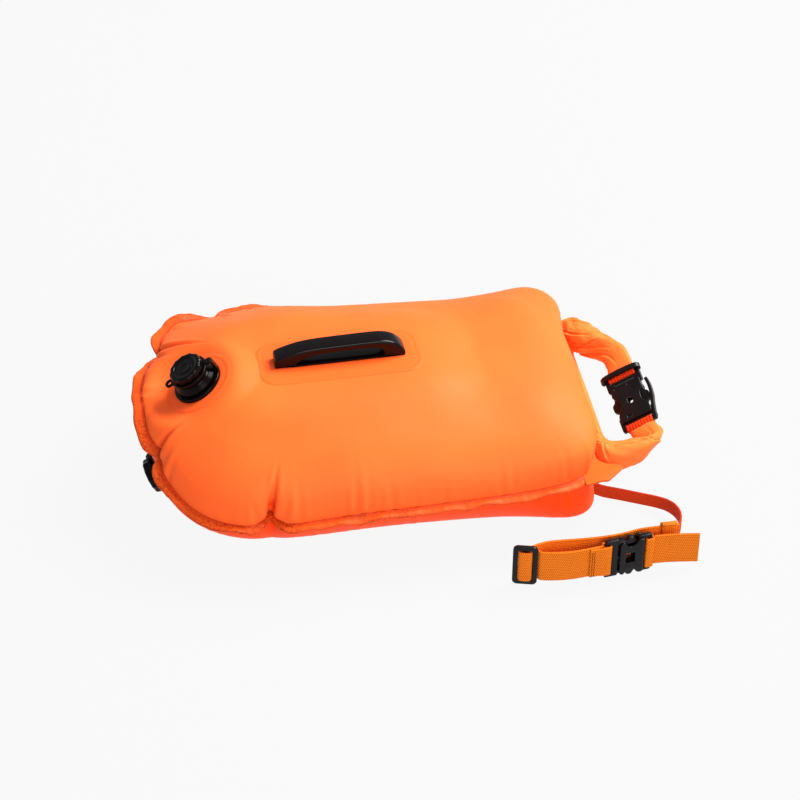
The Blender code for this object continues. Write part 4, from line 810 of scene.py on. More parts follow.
def flatten_at_valve(rings, matrix):
    """Lays the fabric on the valve's flat seat and eases it in round the weld patch."""
    inverse = np.array(matrix.inverted())
    local = rings @ inverse[:3, :3].T + inverse[:3, 3]
    radius = np.hypot(local[..., 0], local[..., 1])
    away = eased((radius - VALVE_PATCH_RADIUS * 0.97) / VALVE_EASE)
    near = np.abs(local[..., 2]) < VALVE_NEAR
    level = -SEAT_GAP + (local[..., 2] + SEAT_GAP) * away
    local[..., 2] = np.where(near, level, local[..., 2])
    forward = np.array(matrix)
    return local @ forward[:3, :3].T + forward[:3, 3]


def flatten_at_handle(rings):
    """Lays the crown on the flat seat of the handle's patch and eases it in round it."""
    out_x = np.maximum(0, np.abs(rings[..., 0] - HANDLE_CENTRE_X) - HANDLE_FLAT[0])
    out_y = np.maximum(0, np.abs(rings[..., 1]) - HANDLE_FLAT[1])
    away = eased(np.hypot(out_x, out_y) / HANDLE_EASE)
    seat = HANDLE_SEAT_Z - SEAT_GAP
    level = seat + (rings[..., 2] - seat) * away
    rings[..., 2] = np.where(rings[..., 2] > CROWN_FROM_Z, level, rings[..., 2])
    return rings


# Place along the seam, reach, depth, width, lean and height of the ridges beside it.
PANEL_FOLDS = ((-0.168, 0.054, 0.0072, 0.0024, -0.13, 0.30), (-0.177, 0.030, 0.0020, 0.0026, -0.35, 0.4),
               (-0.159, 0.026, 0.0018, 0.0026, 0.30, 0.4), (-0.043, 0.050, 0.0058, 0.0026, -0.10, 0.35),
               (-0.053, 0.030, 0.0016, 0.0028, -0.45, 0.4), (0.075, 0.062, 0.0062, 0.0030, 0.10, 0.35),
               (0.064, 0.034, 0.0022, 0.0030, -0.20, 0.4), (0.153, 0.040, 0.0040, 0.0028, 0.15, 0.35))
SMALL_FOLDS = ((-0.262, 0.024, 0.0009), (-0.272, 0.030, 0.0013), (-0.292, 0.022, 0.0008),
               (-0.316, 0.020, 0.0007), (-0.352, 0.018, 0.0006), (-0.232, 0.020, 0.0007))


def panel(name, rings, material):
    faces = grid_faces(len(rings), COLUMNS) + close_crown(rings)
    return face_out(mesh_object(name, rings.reshape(-1, 3), faces, material))


def upper_shell():
    rings = crown((1.45, 2.1, 2.2, 4.2), UPPER_ROWS, upper_rise, 1.0, 0.012)
    normal = normals_of(rings, 1.0)
    distance = surface_distance(rings)
    change = seam_puckers(distance, 11, 0.00085, 0.017)
    for shape in PANEL_FOLDS:
        change += fold(distance, *shape)
    for shape in SMALL_FOLDS:
        change += fold(distance, *shape, 0.0026, 0.05, 0.45)
    change += crease(rings, (0.186, -0.092), (0.170, -0.078), 0.0010, 0.0018)
    slow = 0.0003 * np.sin(rings[..., 0] * 95 + 0.6) * np.sin(rings[..., 1] * 80 + 1.1)
    change += slow * np.minimum(1.0, distance / 0.03)
    rings = flatten_at_handle(rings + normal * change[..., None])
    return panel("upper_panel", flatten_at_valve(rings, UPPER_VALVE), PANEL)


def lower_shell():
    rings = crown((3.4, 1.72, 2.3, 6.0), LOWER_ROWS, lower_rise, -1.0, 0.0)
    rings[..., 2] = np.maximum(0.0, rings[..., 2])
    change = seam_puckers(surface_distance(rings), 31, 0.0009, 0.018)
    rings = rings + normals_of(rings, -1.0) * change[..., None]
    rings = flatten_at_valve(rings, LOWER_VALVE)
    rings[..., 2] = np.maximum(0.0, rings[..., 2])
    return panel("lower_panel", rings, LOWER_PAINTED_SHADE)


BAND_WIDTH = 0.0094
# Share across the band and half its thickness there.
BAND_PROFILE = ((0.0, 0.0018), (0.05, 0.0018), (0.12, 0.0014), (0.24, 0.0008), (0.32, 0.0011), (0.5, 0.0011),
                (0.8, 0.0011), (0.94, 0.0010), (1.0, 0.0004))


def flange_lean(x, y):
    return 0.004 * np.clip(y / BAG_HALF_WIDTH, 0, 1) * np.clip(x / -0.100, 0, 1) - 0.0022


def seam_band():
    """The welded edge: a thick rounded band that waves and folds at the puckers."""
    inner = EDGE + OUTWARD * (0.0001 - PULL)[:, None]
    keep = np.nonzero(inner[:, 0] < ROLL_END_X - 0.010)[0]
    order = sorted(keep, key=lambda index: ALONG[index])
    wave = 0.0013 * wavy(51, 0.030, 0.044, 0.071) + 0.0003 * wavy(53, 0.0075, 0.011)
    width = BAND_WIDTH + 0.0006 * wavy(52, 0.025, 0.052)
    width *= 1.0 + 0.24 * bell(ALONG, 0.112, 0.026) - 0.26 * eased((-ALONG - 0.050) / 0.040)
    width *= 1.0 - 0.25 * bell(ALONG, 0.172, 0.024) - 0.25 * bell(ALONG, 0.149, 0.012)
    section = [*BAND_PROFILE, *((share, -half) for share, half in reversed(BAND_PROFILE))]
    rings, uvs = [], []
    travelled = 0.0
    for place, index in enumerate(order):
        base = inner[index]
        if place:
            travelled += float(np.linalg.norm(base - inner[order[place - 1]]))
        lie = float(seam_height(*base))
        lean = float(flange_lean(*base))
        ring = []
        for share, half in section:
            spot = base + OUTWARD[index] * width[index] * share
            ring.append((*spot, lie + half + lean * share ** 1.3 + wave[index] * share))
            uvs.append((travelled, share))
        rings.append(ring)
    return loft("welded_edge_band", rings, SEAM, uvs)


place_on(upper_shell(), "bag", "shell", "upper_chamber")
place_on(lower_shell(), "bag", "shell_lower", "lower_chamber")
place_on(seam_band(), "bag", "flange", "seam_flange")


# Handle and its weld patch

HANDLE_WIDTH = 0.0155
HANDLE_LIFT = 0.0012
PATCH_STEPS = ((0.0, -0.0006), (0.0, -0.0002), (0.0009, 0.00022), (0.0036, 0.00026), (0.0042, 0.00014),
               (0.0050, 0.00014), (0.0056, 0.00028), (0.0090, 0.00030))
HANDLE_OUTER = ((0.0560, 0.0000), (0.0558, 0.0032), (0.0525, 0.0084), (0.0465, 0.0134), (0.0390, 0.0164),
                (0.0280, 0.0175), (0.0040, 0.0173), (-0.0200, 0.0167), (-0.0340, 0.0152), (-0.0450, 0.0124),
                (-0.0535, 0.0092), (-0.0560, 0.0066), (-0.0560, 0.0000))
HANDLE_GAP = ((0.0370, 0.0012), (0.0372, 0.0040), (0.0360, 0.0072), (0.0325, 0.0098), (0.0250, 0.0106),
              (0.0120, 0.0107), (-0.0020, 0.0106), (-0.0140, 0.0102), (-0.0220, 0.0092), (-0.0300, 0.0070),
              (-0.0350, 0.0042), (-0.0374, 0.0022), (-0.0378, 0.0012))


def patch_from(name, outline_at, bottom, matrix):
    """A weld patch: a flat sheet with a rounded edge and a weld line pressed in just inside it."""
    rings = [[(x, y, bottom + height) for x, y in outline_at(inset)] for inset, height in PATCH_STEPS]
    return sharpen(loft(name, [transformed(ring, matrix) for ring in rings], PATCH))


def drawn_in(outline, inset):
    """The outline moved inward all along."""
    found = []
    line = [Vector(place) for place in outline]
    for index, here in enumerate(line):
        before = (here - line[index - 1]).normalized()
        after = (line[(index + 1) % len(line)] - here).normalized()
        middle = Vector((-before.y - after.y, before.x + after.x)).normalized()
        found.append(here + middle * inset / max(middle.dot(Vector((-before.y, before.x))), 0.35))
    return found


def handle_bridge():
    """Rings round the section: over one face from the outer line to the gap, and back over the other."""
    outer, gap = [[(place.x, place.z) for place in smooth_route([(x, 0, z) for x, z in line], 5)]
                  for line in (HANDLE_OUTER, HANDLE_GAP)]
    half = HANDLE_WIDTH / 2
    steps = [(0.0014, half), (0.0007, half - 0.0003), (0.00015, half - 0.0009), (0.0, half - 0.0017)]
    loops = [(outer, inset, -reach) for inset, reach in reversed(steps)]
    loops += [(gap, -inset * 0.7, -reach) for inset, reach in steps]
    loops += [(gap, -inset * 0.7, reach) for inset, reach in reversed(steps)]
    loops += [(outer, inset, reach) for inset, reach in steps]
    points = [(HANDLE_CENTRE_X + x, y, handle_foot + HANDLE_LIFT + z - 0.0010 * max(0.0, 1 - z / 0.003))
              for outline, inset, y in loops for x, z in drawn_in(outline, inset)]
    faces = [tuple(corner % len(points) for corner in face)
             for face in grid_faces(len(loops) + 1, len(outer))]
    return sharpen(face_out(mesh_object("carry_handle", points, faces, GRIP)), 50)


handle_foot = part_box("handle_patch")[0].z
place_on(patch_from("handle_weld_patch", lambda inset: round_rectangle(
    0.140 - 2 * inset, 0.056 - 2 * inset, 0.016 - inset, 12), handle_foot,
    Matrix.Translation((HANDLE_CENTRE_X, 0.0, 0.0))), "bag", "patch", "handle_patch")
place_on(handle_bridge(), "bag", "plastic", "handle")


# Valves. A profile's points are a radius and a height.

BASE_PROFILE = ((0.0120, 0.0003), (0.0220, 0.0003), (0.0220, 0.0039), (0.0190, 0.0039), (0.0188, 0.0036),
                (0.0112, 0.0036), (0.0112, 0.0180), (0.0080, 0.0180), (0.0080, -0.0054), (0.0052, -0.0054),
                (0.0052, -0.0070), (0.0120, -0.0070))
BODY_PROFILE = ((0.0115, 0.0042), (0.0185, 0.0042), (0.0185, 0.0070), (0.0176, 0.0074), (0.0176, 0.0082),
                (0.0168, 0.0086), (0.0168, 0.0094), (0.0156, 0.0100), (0.0153, 0.0110), (0.0115, 0.0110))
SWIVEL_SPAN = (0.0144, 0.0166)
SWIVEL_PROFILE = ((0.0141, 0.0144), (0.0172, 0.0144), (0.0172, 0.0166), (0.0141, 0.0166))
CAP_PROFILE = ((0.0001, 0.0200), (0.0115, 0.0200), (0.0115, 0.0113), (0.0150, 0.0113), (0.0150, 0.0141),
               (0.0138, 0.0141), (0.0138, 0.0169), (0.0150, 0.0169), (0.0150, 0.0218), (0.0138, 0.0232),
               (0.0112, 0.0232), (0.0104, 0.0220), (0.0072, 0.0220), (0.0068, 0.0226), (0.0040, 0.0226),
               (0.0036, 0.0221), (0.0001, 0.0221))
PATCH_BORE = 0.0123
EAR_X = -0.0194
TETHER_X = 0.0214
TETHER_ROUTE = ((-0.0006, 0.0152), (0.0001, 0.0140), (0.0002, 0.0110), (0.0002, 0.0080), (0.0, 0.0062),
                (-0.0012, 0.0050), (-0.0024, 0.0048))


def arc_points(x, radius, angles):
    return [(x + radius * math.cos(angle), radius * math.sin(angle)) for angle in angles]


def grip(radius, height, angle):
    """The cap's upper rim swells into twelve grips."""
    if radius < 0.0136 or height < 0.0170:
        return radius
    return radius + 0.0006 * max(0.0, math.cos(12 * angle)) ** 0.6


def valve(prefix, matrix, swivel_body, cap_body):
    """Weld patch, base ring, stepped body, swivel ring with its ears, cap and tether."""
    patch = [(PATCH_BORE, -0.0003), *((VALVE_PATCH_RADIUS - inset, 0.0003 + height)
                                      for inset, height in PATCH_STEPS), (PATCH_BORE, 0.0006)]
    place_on(lathe(prefix + "_weld_patch", patch, PATCH, matrix), "bag", "patch", prefix + "_patch")
    ring = lathe(prefix + "_base_ring", rounded(BASE_PROFILE, 0.0009), GLOSS, matrix)
    place_on(ring, "bag", "plastic", prefix + "_base")
    body = lathe(prefix + "_stepped_body", rounded(BODY_PROFILE, 0.0006), GLOSS, matrix)
    place_on(body, "bag", "plastic", prefix + "_body")
    ring = lathe(prefix + "_swivel_ring", rounded(SWIVEL_PROFILE, 0.0006), GLOSS, matrix)
    outline = [(-0.0168, 0.0036), *arc_points(EAR_X, 0.0042, np.linspace(0.75, 5.53, 26)), (-0.0168, -0.0036)]
    hole = arc_points(EAR_X, 0.0020, np.linspace(0, 2 * np.pi, 22, endpoint=False))
    tab = round_rectangle(0.0050, 0.0066, 0.0012, 4, (0.0189, 0.0))
    ears = [plate(prefix + part, line, holes, *SWIVEL_SPAN, 0.0006, GLOSS, matrix)
            for part, line, holes in (("_ear", outline, [hole]), ("_tab", tab, []))]
    place_on(merge(prefix + "_swivel_plate", [ring, *ears]), swivel_body, "plastic", prefix + "_swivel")
    cap = lathe(prefix + "_screw_cap", rounded(CAP_PROFILE, 0.0007), GLOSS, matrix, 144, grip)
    place_on(cap, cap_body, "plastic", prefix + "_cap")
    line = smooth_route([(TETHER_X + x, 0, z) for x, z in TETHER_ROUTE], 5)
    tether = strap_in(matrix, prefix + "_tether_strap", line, 0.0066, 0.0014, GLOSS, (0, 1, 0))
    axis = matrix.to_3x3() @ Vector((0, 0, 1))
    low_end = matrix @ Vector((TETHER_X, 0, 0.0056))
    blend_on(tether, "plastic", [prefix + "_tether"], "bag", swivel_body, low_end, low_end + axis * 0.0080)


valve("upper_valve", UPPER_VALVE, "upper_swivel", "upper_cap")
valve("lower_valve", LOWER_VALVE, "lower_swivel", "lower_cap")


# Buckles. Local X runs from the bar end to the far end, Y across the width, Z out of the face. A buckle's
# sizes are its webbing's width, its head's length and its prongs' length.

BAR_WIDTH = 0.0036
SLOT_SPAN = 0.0042
SLOT_LENGTH = 0.0026
LADDER = BAR_WIDTH + SLOT_SPAN
SIDE_WALL = 0.004
LOBE_WIDTH = 0.0036
WAIST_SHARE = 0.20
ROLL_WEBBING = 0.025
BELT_WEBBING = 0.032
LEASH_WEBBING = 0.013
ROLL_SIZES = (ROLL_WEBBING, 0.0062, 0.0255)
BELT_SIZES = (BELT_WEBBING, 0.0042, 0.0165)
BELT_THICKNESS = 0.0016
BELT_LEVEL = 0.0213
ROLL_BUCKLE = frame_matrix((0.2351, 0.0064, 0.072), (0.113727, -0.939793, -0.322266),
                           (-0.49324796, -0.33498, 0.802804))
BELT_BUCKLE = frame_matrix((0.18, -0.1688, BELT_LEVEL), (0.994703, 0.102793, 0), (0.102793, -0.994703, 0))
TRIGLIDE = frame_matrix((0.103, -0.1612, BELT_LEVEL), (0.96363, -0.267238, 0), (-0.267238, -0.96363, 0))
KEEPER = frame_matrix((0.232, -0.1535, BELT_LEVEL), (1, 0, 0), (0, -1, 0))


def bar_wrap(name, bar_start, width, material, matrix, thickness=0.0012):
    """Webbing sewn round a bar."""
    half_x, half_z = 0.0018 + 0.0003 + thickness / 2, 0.0020 + 0.0003 + thickness / 2
    centre = bar_start + BAR_WIDTH / 2
    line = rounded([(centre - half_x, -half_z), (centre + half_x, -half_z), (centre + half_x, half_z),
                    (centre - half_x, half_z)], 0.0012, 5)
    rings, uvs = [], []
    travelled = 0.0
    count = len(line)
    side = [(-1.0, 0.4), (-0.985, 0.85), (-0.94, 1.0), (0.0, 1.0), (0.94, 1.0), (0.985, 0.85), (1.0, 0.4)]
    section = side + [(share, -half) for share, half in reversed(side)]
    for index in range(count + 1):
        x, z = line[index % count]
        before, after = line[(index - 1) % count], line[(index + 1) % count]
        if index:
            travelled += math.dist(line[index % count], before)
        out = Vector((after[1] - before[1], 0, before[0] - after[0])).normalized()
        rings.append([Vector((x, share * width / 2, z)) + out * half * thickness / 2
                      for share, half in section])
        uvs.extend((travelled, (share + 1) / 2) for share, half in section)
    piece = loft(name, rings, material, uvs)
    piece.data.transform(matrix)
    return piece


def webbing_slot(webbing, x):
    return round_rectangle(SLOT_LENGTH, webbing + 0.0006, 0.0010, 4, (x, 0.0))


def buckle_male(name, webbing, head, prong, matrix, looped=False):
    """Frame with a bar, two lobed prongs and a guide. Looped adds a slit and a raised loop over the bar."""
    half = webbing / 2 + SIDE_WALL
    length = LADDER + head
    slots = [webbing_slot(webbing, BAR_WIDTH + SLOT_LENGTH / 2)]
    if looped:
        slots.append(round_rectangle(0.0013, webbing * 0.74, 0.0005, 3, (0.0089, 0.0)))
    pieces = [slab(name + "_frame", (length, 2 * half), 0.0017, 6, (length / 2, 0), 0.0020, 0.0007,
                   matrix, slots)]
    root, tip = LADDER + head * 0.45, length + prong
    outer = half + 0.001
    inner = outer - 0.0034 - LOBE_WIDTH
    lobe = inner + LOBE_WIDTH
    outline = rounded([(root, inner), (tip - prong * 0.04, inner), (tip, inner + 0.0014),
                       (tip - prong * 0.16, lobe), (tip - prong * 0.26, outer), (tip - prong * 0.50, outer),
                       (tip - prong * 0.62, lobe), (root, lobe)], 0.0014, 5)
    for side in (-1, 1):
        line = [(x, y * side) for x, y in outline][::side]
        pieces.append(plate(f"{name}_prong_{side + 1}", line, [], -0.0024, 0.0024, 0.0008, PLASTIC, matrix))
    guide = prong * 0.42 + head / 2
    pieces.append(slab(name + "_guide", (guide, 0.0036), 0.0012, 4, (root + guide / 2, 0),
                       0.0022, 0.0006, matrix))
    if looped:
        line = smooth_route([(0.0018, -half, 0.0), (0.0008, -half - 0.0012, 0.0026),
                             (0.0002, -0.0130, 0.0050), (0.0, 0.0, 0.0056), (0.0002, 0.0130, 0.0050),
                             (0.0008, half + 0.0004, 0.0026), (0.0018, half - 0.0006, 0.0)], 6)
        pieces.append(strap_in(matrix, name + "_loop", line, 0.0044, 0.0032, PLASTIC, (1, 0, 0)))
    return merge(name, pieces)


def buckle_female(name, webbing, head, prong, block, matrix, window_share=0.34, railed=False):
    """Two plates waisted over the prongs' lobes, a closed core, and the ladder end for the webbing."""
    half = webbing / 2 + SIDE_WALL - 0.0016
    mouth = LADDER + head + 0.0005
    core = mouth + prong + 0.0005
    lobe_low, lobe_high = mouth + prong * 0.40, mouth + prong * 0.78
    cut = webbing * WAIST_SHARE
    outline = [(mouth, half - 0.0016), (mouth + prong * 0.22, half), (lobe_low, half - cut * 0.75),
               ((lobe_low + lobe_high) / 2, half - cut), (lobe_high, half - cut * 0.75),
               (core - 0.0008, half), (core + block, half)]
    outline = rounded(outline + [(x, -y) for x, y in reversed(outline)], 0.0022, 6)
    window = round_rectangle(prong * window_share * 1.45, webbing * window_share, 0.0012, 5,
                             (mouth + prong * 0.56, 0))
    holes = []
    if railed:
        holes.append(round_rectangle(0.0030, 0.0046, 0.0009, 4, (core + block * 0.42, -webbing * 0.20)))
    pieces = [plate(name + part, outline, [window] + holes, low, low + 0.0020, 0.0008, PLASTIC, matrix)
              for part, low in (("_face", 0.0029), ("_back", -0.0049))]
    pieces.append(slab(name + "_core", (block + 0.0006, 2 * half - 0.0006), 0.0010, 4, (core + block / 2, 0),
                       0.0046, 0.0006, matrix, holes))
    length = block + LADDER
    pieces.append(slab(name + "_ladder", (length, webbing + 2 * SIDE_WALL), 0.0017, 6, (core + length / 2, 0),
                       0.0020, 0.0007, matrix, [webbing_slot(webbing, core + block + 0.0029), *holes]))
    for side in (-1, 1):
        pieces.append(slab(f"{name}_rail_{side + 1}", (prong * 0.95, 0.0016), 0.0007, 3,
                           (mouth + prong * 0.52, side * (webbing * 0.17 + 0.0012)), 0.0030, 0.0004, matrix))
    if railed:
        beside = half + 0.0047
        line = smooth_route([(mouth + 0.0006, beside - 0.0004, 0.0012),
                             (mouth + prong * 0.3, beside + 0.0004, 0.0014),
                             (mouth + prong * 0.65, beside - 0.0002, 0.0012),
                             (core - 0.0020, beside - 0.0022, 0.0008), (core + block, half + 0.0008, 0.0),
                             (core + length - 0.0030, half + 0.0006, 0.0)], 6)
        pieces.append(strap_in(matrix, name + "_side_rail", line, 0.0052, 0.0028, PLASTIC))
    return merge(name, pieces)


# Roll top. An arm's points are a share of the way to the buckle and an offset in bows.

ROLL_HALF_DEPTH = 0.0078
ROLL_HALF_HEIGHT = 0.0130
ROLL_HALF_LENGTH = 0.060
ROLL_X = 0.1983
ROLL_Z = 0.052
ARM_BOW = 0.020
SPIRAL_TURNS = 3.2
SPIRAL_STEPS = 150
NECK_SHEET_SPAN = (0.0609, 0.0631)
NECK_EAR_SHARES = ((0.07, 0.95), (0.25, 1.00), (1.00, 0.43), (0.89, 0.30))
ARM_SIDES = 144
ARM_FOLDS = 9
ARM_OVERRUN = 0.0018
ROLL_BUCKLE_LENGTH = 0.0543
BACK_ARM = ((0.00, 0.000, 0.00, 0.00), (0.05, -0.090, 0.69, 0.03), (0.10, -0.160, 1.25, 0.10),
            (0.15, -0.075, 1.66, 0.16), (0.20, 0.120, 1.74, 0.22), (0.28, 0.150, 1.60, 0.28),
            (0.38, 0.120, 1.33, 0.35), (0.50, 0.160, 1.07, 0.39), (0.64, 0.240, 0.80, 0.41),
            (0.78, 0.290, 0.51, 0.41), (0.90, 0.190, 0.20, 0.24), (1.00, 0.000, 0.00, 0.00))
FRONT_ARM = ((0.00, 0.000, 0.00, 0.00), (0.03, -0.030, -0.39, 0.05), (0.10, 0.000, -0.80, 0.08),
             (0.22, 0.120, -1.04, 0.08), (0.42, 0.380, -1.18, 0.14), (0.67, 0.500, -1.16, 0.16),
             (0.90, 0.380, -0.76, 0.10), (1.00, 0.000, 0.00, 0.00))
# Start and end of each lapped fold as a share of the arm and degrees round it, its depth and width.
BACK_PLEATS = (
    (0.16, 5, 0.44, 80, 0.20, 0.45), (0.12, -12, 0.62, 4, 0.15, 0.32), (0.19, 62, 0.29, 118, 0.13, 0.40),
    (0.43, 18, 0.64, 50, 0.14, 0.36), (0.66, 8, 0.80, 62, 0.13, 0.36), (0.30, 104, 0.56, 128, 0.10, 0.40),
    (0.34, 40, 0.50, 92, 0.12, 0.30), (0.10, 30, 0.22, 80, 0.12, 0.34), (0.48, -24, 0.78, 8, 0.16, 0.34),
    (0.28, -30, 0.52, -10, 0.13, 0.30), (0.64, -40, 0.90, -14, 0.14, 0.30), (0.52, 44, 0.72, 96, 0.12, 0.32))
FRONT_PLEATS = (
    (0.27, 70, 0.36, 12, 0.12, 0.40), (0.14, 45, 0.30, 82, 0.12, 0.34), (0.72, 84, 0.86, 14, 0.12, 0.40),
    (0.45, 88, 0.66, 70, 0.08, 0.34), (0.80, 110, 0.93, 60, 0.10, 0.34))
PLEAT_STRENGTH = 1.35


def rolled_mouth():
    """The mouth rolled up in a spiral."""
    rings = []
    for y in np.linspace(-ROLL_HALF_LENGTH, ROLL_HALF_LENGTH, 40):
        outer, inner = [], []
        for step in range(SPIRAL_STEPS + 1):
            angle = math.radians(90) - 2 * math.pi * SPIRAL_TURNS * step / SPIRAL_STEPS
            share = 1.0 - 0.62 * step / SPIRAL_STEPS + 0.012 * math.sin(3 * angle + 60 * y)
            for line, size in ((outer, share), (inner, share - 0.09)):
                line.append((ROLL_X + ROLL_HALF_DEPTH * size * math.cos(angle), y,
                             ROLL_Z + ROLL_HALF_HEIGHT * size * math.sin(angle)))
        rings.append(outer + inner[::-1])
    return loft("rolled_mouth", rings, ARM_PAINTED_LIGHT)


def neck_sheet():
    """Sheet between the chambers and the roll, with the ear beside the front arm."""
    ear = [(0.1883 + 0.0225 * along, -0.092 - 0.0262 * beside) for along, beside in NECK_EAR_SHARES]
    outline = [(0.174, 0.102), (0.174, -0.1205), *ear, (0.1960, -0.0960), (0.1902, -0.0900),
               (0.1902, -0.0597), (0.1960, -0.0597), (0.1960, 0.0597), (0.1902, 0.0597), (0.1902, 0.102)]
    low, high = NECK_SHEET_SPAN
    return plate("neck_sheet", rounded(outline, 0.0030, 5), [], low, high, 0.0005, EAR, Matrix.Identity(4))


def arm_route(side, tip, shares):
    root = Vector((ROLL_X, side * (ROLL_HALF_LENGTH + 0.0003), ROLL_Z))
    return [root.lerp(tip, along) + Vector(off) * ARM_BOW for along, *off in shares]


def blended(low, high, share):
    return low + (high - low) * float(eased(share))


def crumple(place, size):
    """Facets of crumpled fabric: 0 in the sharp valleys between them, up to 1 on a facet."""
    near = mesh_noise.voronoi(place / size)[0]
    return min(1.0, (near[1] - near[0]) * 2.0) ** 0.7


def centred_turn(angle):
    return (angle + math.pi) % (2 * math.pi) - math.pi


def pleat(share, angle, line):
    """A lapped fold along a line over the arm: it rises slowly on one side and drops at once on the other."""
    start, start_degrees, end, end_degrees, depth, width = line
    along = (share - start) / (end - start)
    if not -0.15 < along < 1.15:
        return 0.0
    turn = centred_turn(angle - math.radians(start_degrees + (end_degrees - start_degrees) * along))
    fade = math.sin(math.pi * (along + 0.15) / 1.3) ** 0.6
    rise = max(0.0, 1.0 + turn / (2.2 * width)) if turn < 0 else math.exp(-((turn / (0.15 * width)) ** 2))
    valley = 0.6 * math.exp(-(((turn - 0.40 * width) / (0.25 * width)) ** 2))
    return PLEAT_STRENGTH * depth * fade * (rise ** 1.5 - valley)


def soft_fold(share, angle, line):
    """A valley between two ridges that winds over a stretch of the arm."""
    middle, lean, centre, reach, width, depth = line
    turn = centred_turn(angle - middle - lean * (share - centre))
    near = math.exp(-((share - centre) / reach) ** 2)
    valley = math.exp(-abs(turn / width) ** 1.3)
    ridge = math.exp(-((abs(turn) - 2.3 * width) / (1.2 * width)) ** 2)
    return depth * near * (0.45 * ridge - valley)


def arm(name, side, tip, tip_ahead, shares, fullness, pleats, seed):
    """One folded end of the roll: full in its middle, with wrinkles where it bends and closes."""
    fold_share, full_share, full_depth, full_height, crushed = fullness
    places = smooth_route(arm_route(side, tip, shares), 14)
    source = np.random.default_rng(seed)
    swing, start, grain = source.uniform(0, 2 * np.pi, 6)[:3]
    folds = [(source.uniform(0, 2 * np.pi), source.uniform(-5, 5), source.uniform(0.02, 0.98),
              source.uniform(0.08, 0.30), source.uniform(0.06, 0.15), source.uniform(0.05, 0.13))
             for _ in range(ARM_FOLDS)]
    rings, uvs = [], []
    travelled = 0.0
    last = len(places) - 1
    for index, place in enumerate(places):
        share = index / last
        if index:
            travelled += (place - places[index - 1]).length
        ahead = places[min(index + 1, last)] - places[max(index - 1, 0)]
        if index == 0:
            ahead = Vector((0.0, side, 0.0))
        if index == last:
            ahead = tip_ahead
        growth = (share - fold_share) / (full_share - fold_share)
        closing = (share - full_share) / (1.0 - full_share)
        depth = blended(blended(ROLL_HALF_DEPTH, full_depth, growth), 0.0032, closing)
        height = blended(blended(ROLL_HALF_HEIGHT, full_height, growth), 0.0118, closing)
        up = Vector((0, 0, 1)).lerp(buckle_across, blended(0.0, 1.0, closing))
        beside = ahead.cross(up).normalized()
        up = beside.cross(ahead).normalized()
        bend = math.exp(-(share / 0.16) ** 2) + 0.8 * math.exp(-((share - 0.90) / 0.12) ** 2)
        ends = min(1.0, share / 0.05) * min(1.0, (1.0 - share) / 0.08)
        ring = []
        for step in range(ARM_SIDES):
            angle = 2 * math.pi * step / ARM_SIDES
            fine = math.sin(travelled * 240 + 3 * angle + grain) * math.sin(5 * angle + 90 * travelled)
            change = 1.0 - 0.020 * fine
            change += sum(soft_fold(share, angle, line) for line in folds)
            change -= 0.015 * bend * (1 + math.sin(travelled * 430 + 2.4 * math.sin(angle + swing) + start))
            change += sum(pleat(share, angle, line) for line in pleats)
            turned = angle + side * 38.0 * travelled
            spot = Vector((travelled * 0.5 + seed, 0.0125 * math.cos(turned), 0.0125 * math.sin(turned)))
            change += ends * crushed * (crumple(spot, 0.0170) - 0.66 + 0.22 * (crumple(spot, 0.0085) - 0.6))
            square = 1.0 / (abs(math.cos(angle)) ** 2.6 + abs(math.sin(angle)) ** 2.6) ** (1 / 2.6)
            ring.append(place + beside * depth * square * change * math.cos(angle)
                        + up * height * square * change * math.sin(angle))
            uvs.append((travelled, step / ARM_SIDES))
        rings.append(ring)
    return loft(name, rings, ARM_PAINTED_LIGHT, uvs)


buckle_along = ROLL_BUCKLE.to_3x3() @ Vector((1, 0, 0))
buckle_across = ROLL_BUCKLE.to_3x3() @ Vector((0, 1, 0))
place_on(rolled_mouth(), "bag", "shell", "rolled_neck")
place_on(neck_sheet(), "bag", "flange")
front_tip = ROLL_BUCKLE @ Vector((ROLL_BUCKLE_LENGTH + ARM_OVERRUN, 0, 0))
back_tip = ROLL_BUCKLE @ Vector((-ARM_OVERRUN, 0, 0))
place_on(arm("front_arm", -1.0, front_tip, -buckle_along, FRONT_ARM,
             (0.05, 0.35, 0.0110, 0.0124, 0.05), FRONT_PLEATS, 3), "bag", "shell", "roll_arm_front")
back_arm = arm("back_arm", 1.0, back_tip, buckle_along, BACK_ARM,
               (0.22, 0.55, 0.0140, 0.0114, 0.08), BACK_PLEATS, 5)
blend_on(back_arm, "shell", ["roll_arm_back"], "bag", "roll_buckle_half", (0.20, 0.090, 0.060), back_tip)

place_on(buckle_male("roll_buckle_tongue", *ROLL_SIZES, ROLL_BUCKLE, True),
         "roll_buckle_half", "plastic", "roll_buckle_male")
place_on(buckle_female("roll_buckle_socket", *ROLL_SIZES, 0.006, ROLL_BUCKLE, 0.17, True),
         "bag", "plastic", "roll_buckle_female")
place_on(bar_wrap("roll_back_wrap", 0.0, ROLL_WEBBING, RED_WEBBING, ROLL_BUCKLE),
         "roll_buckle_half", "webbing_red", "roll_back_bar_loop")
place_on(bar_wrap("roll_front_wrap", ROLL_BUCKLE_LENGTH - BAR_WIDTH, ROLL_WEBBING, RED_WEBBING, ROLL_BUCKLE),
         "bag", "webbing_red", "roll_front_bar_loop")

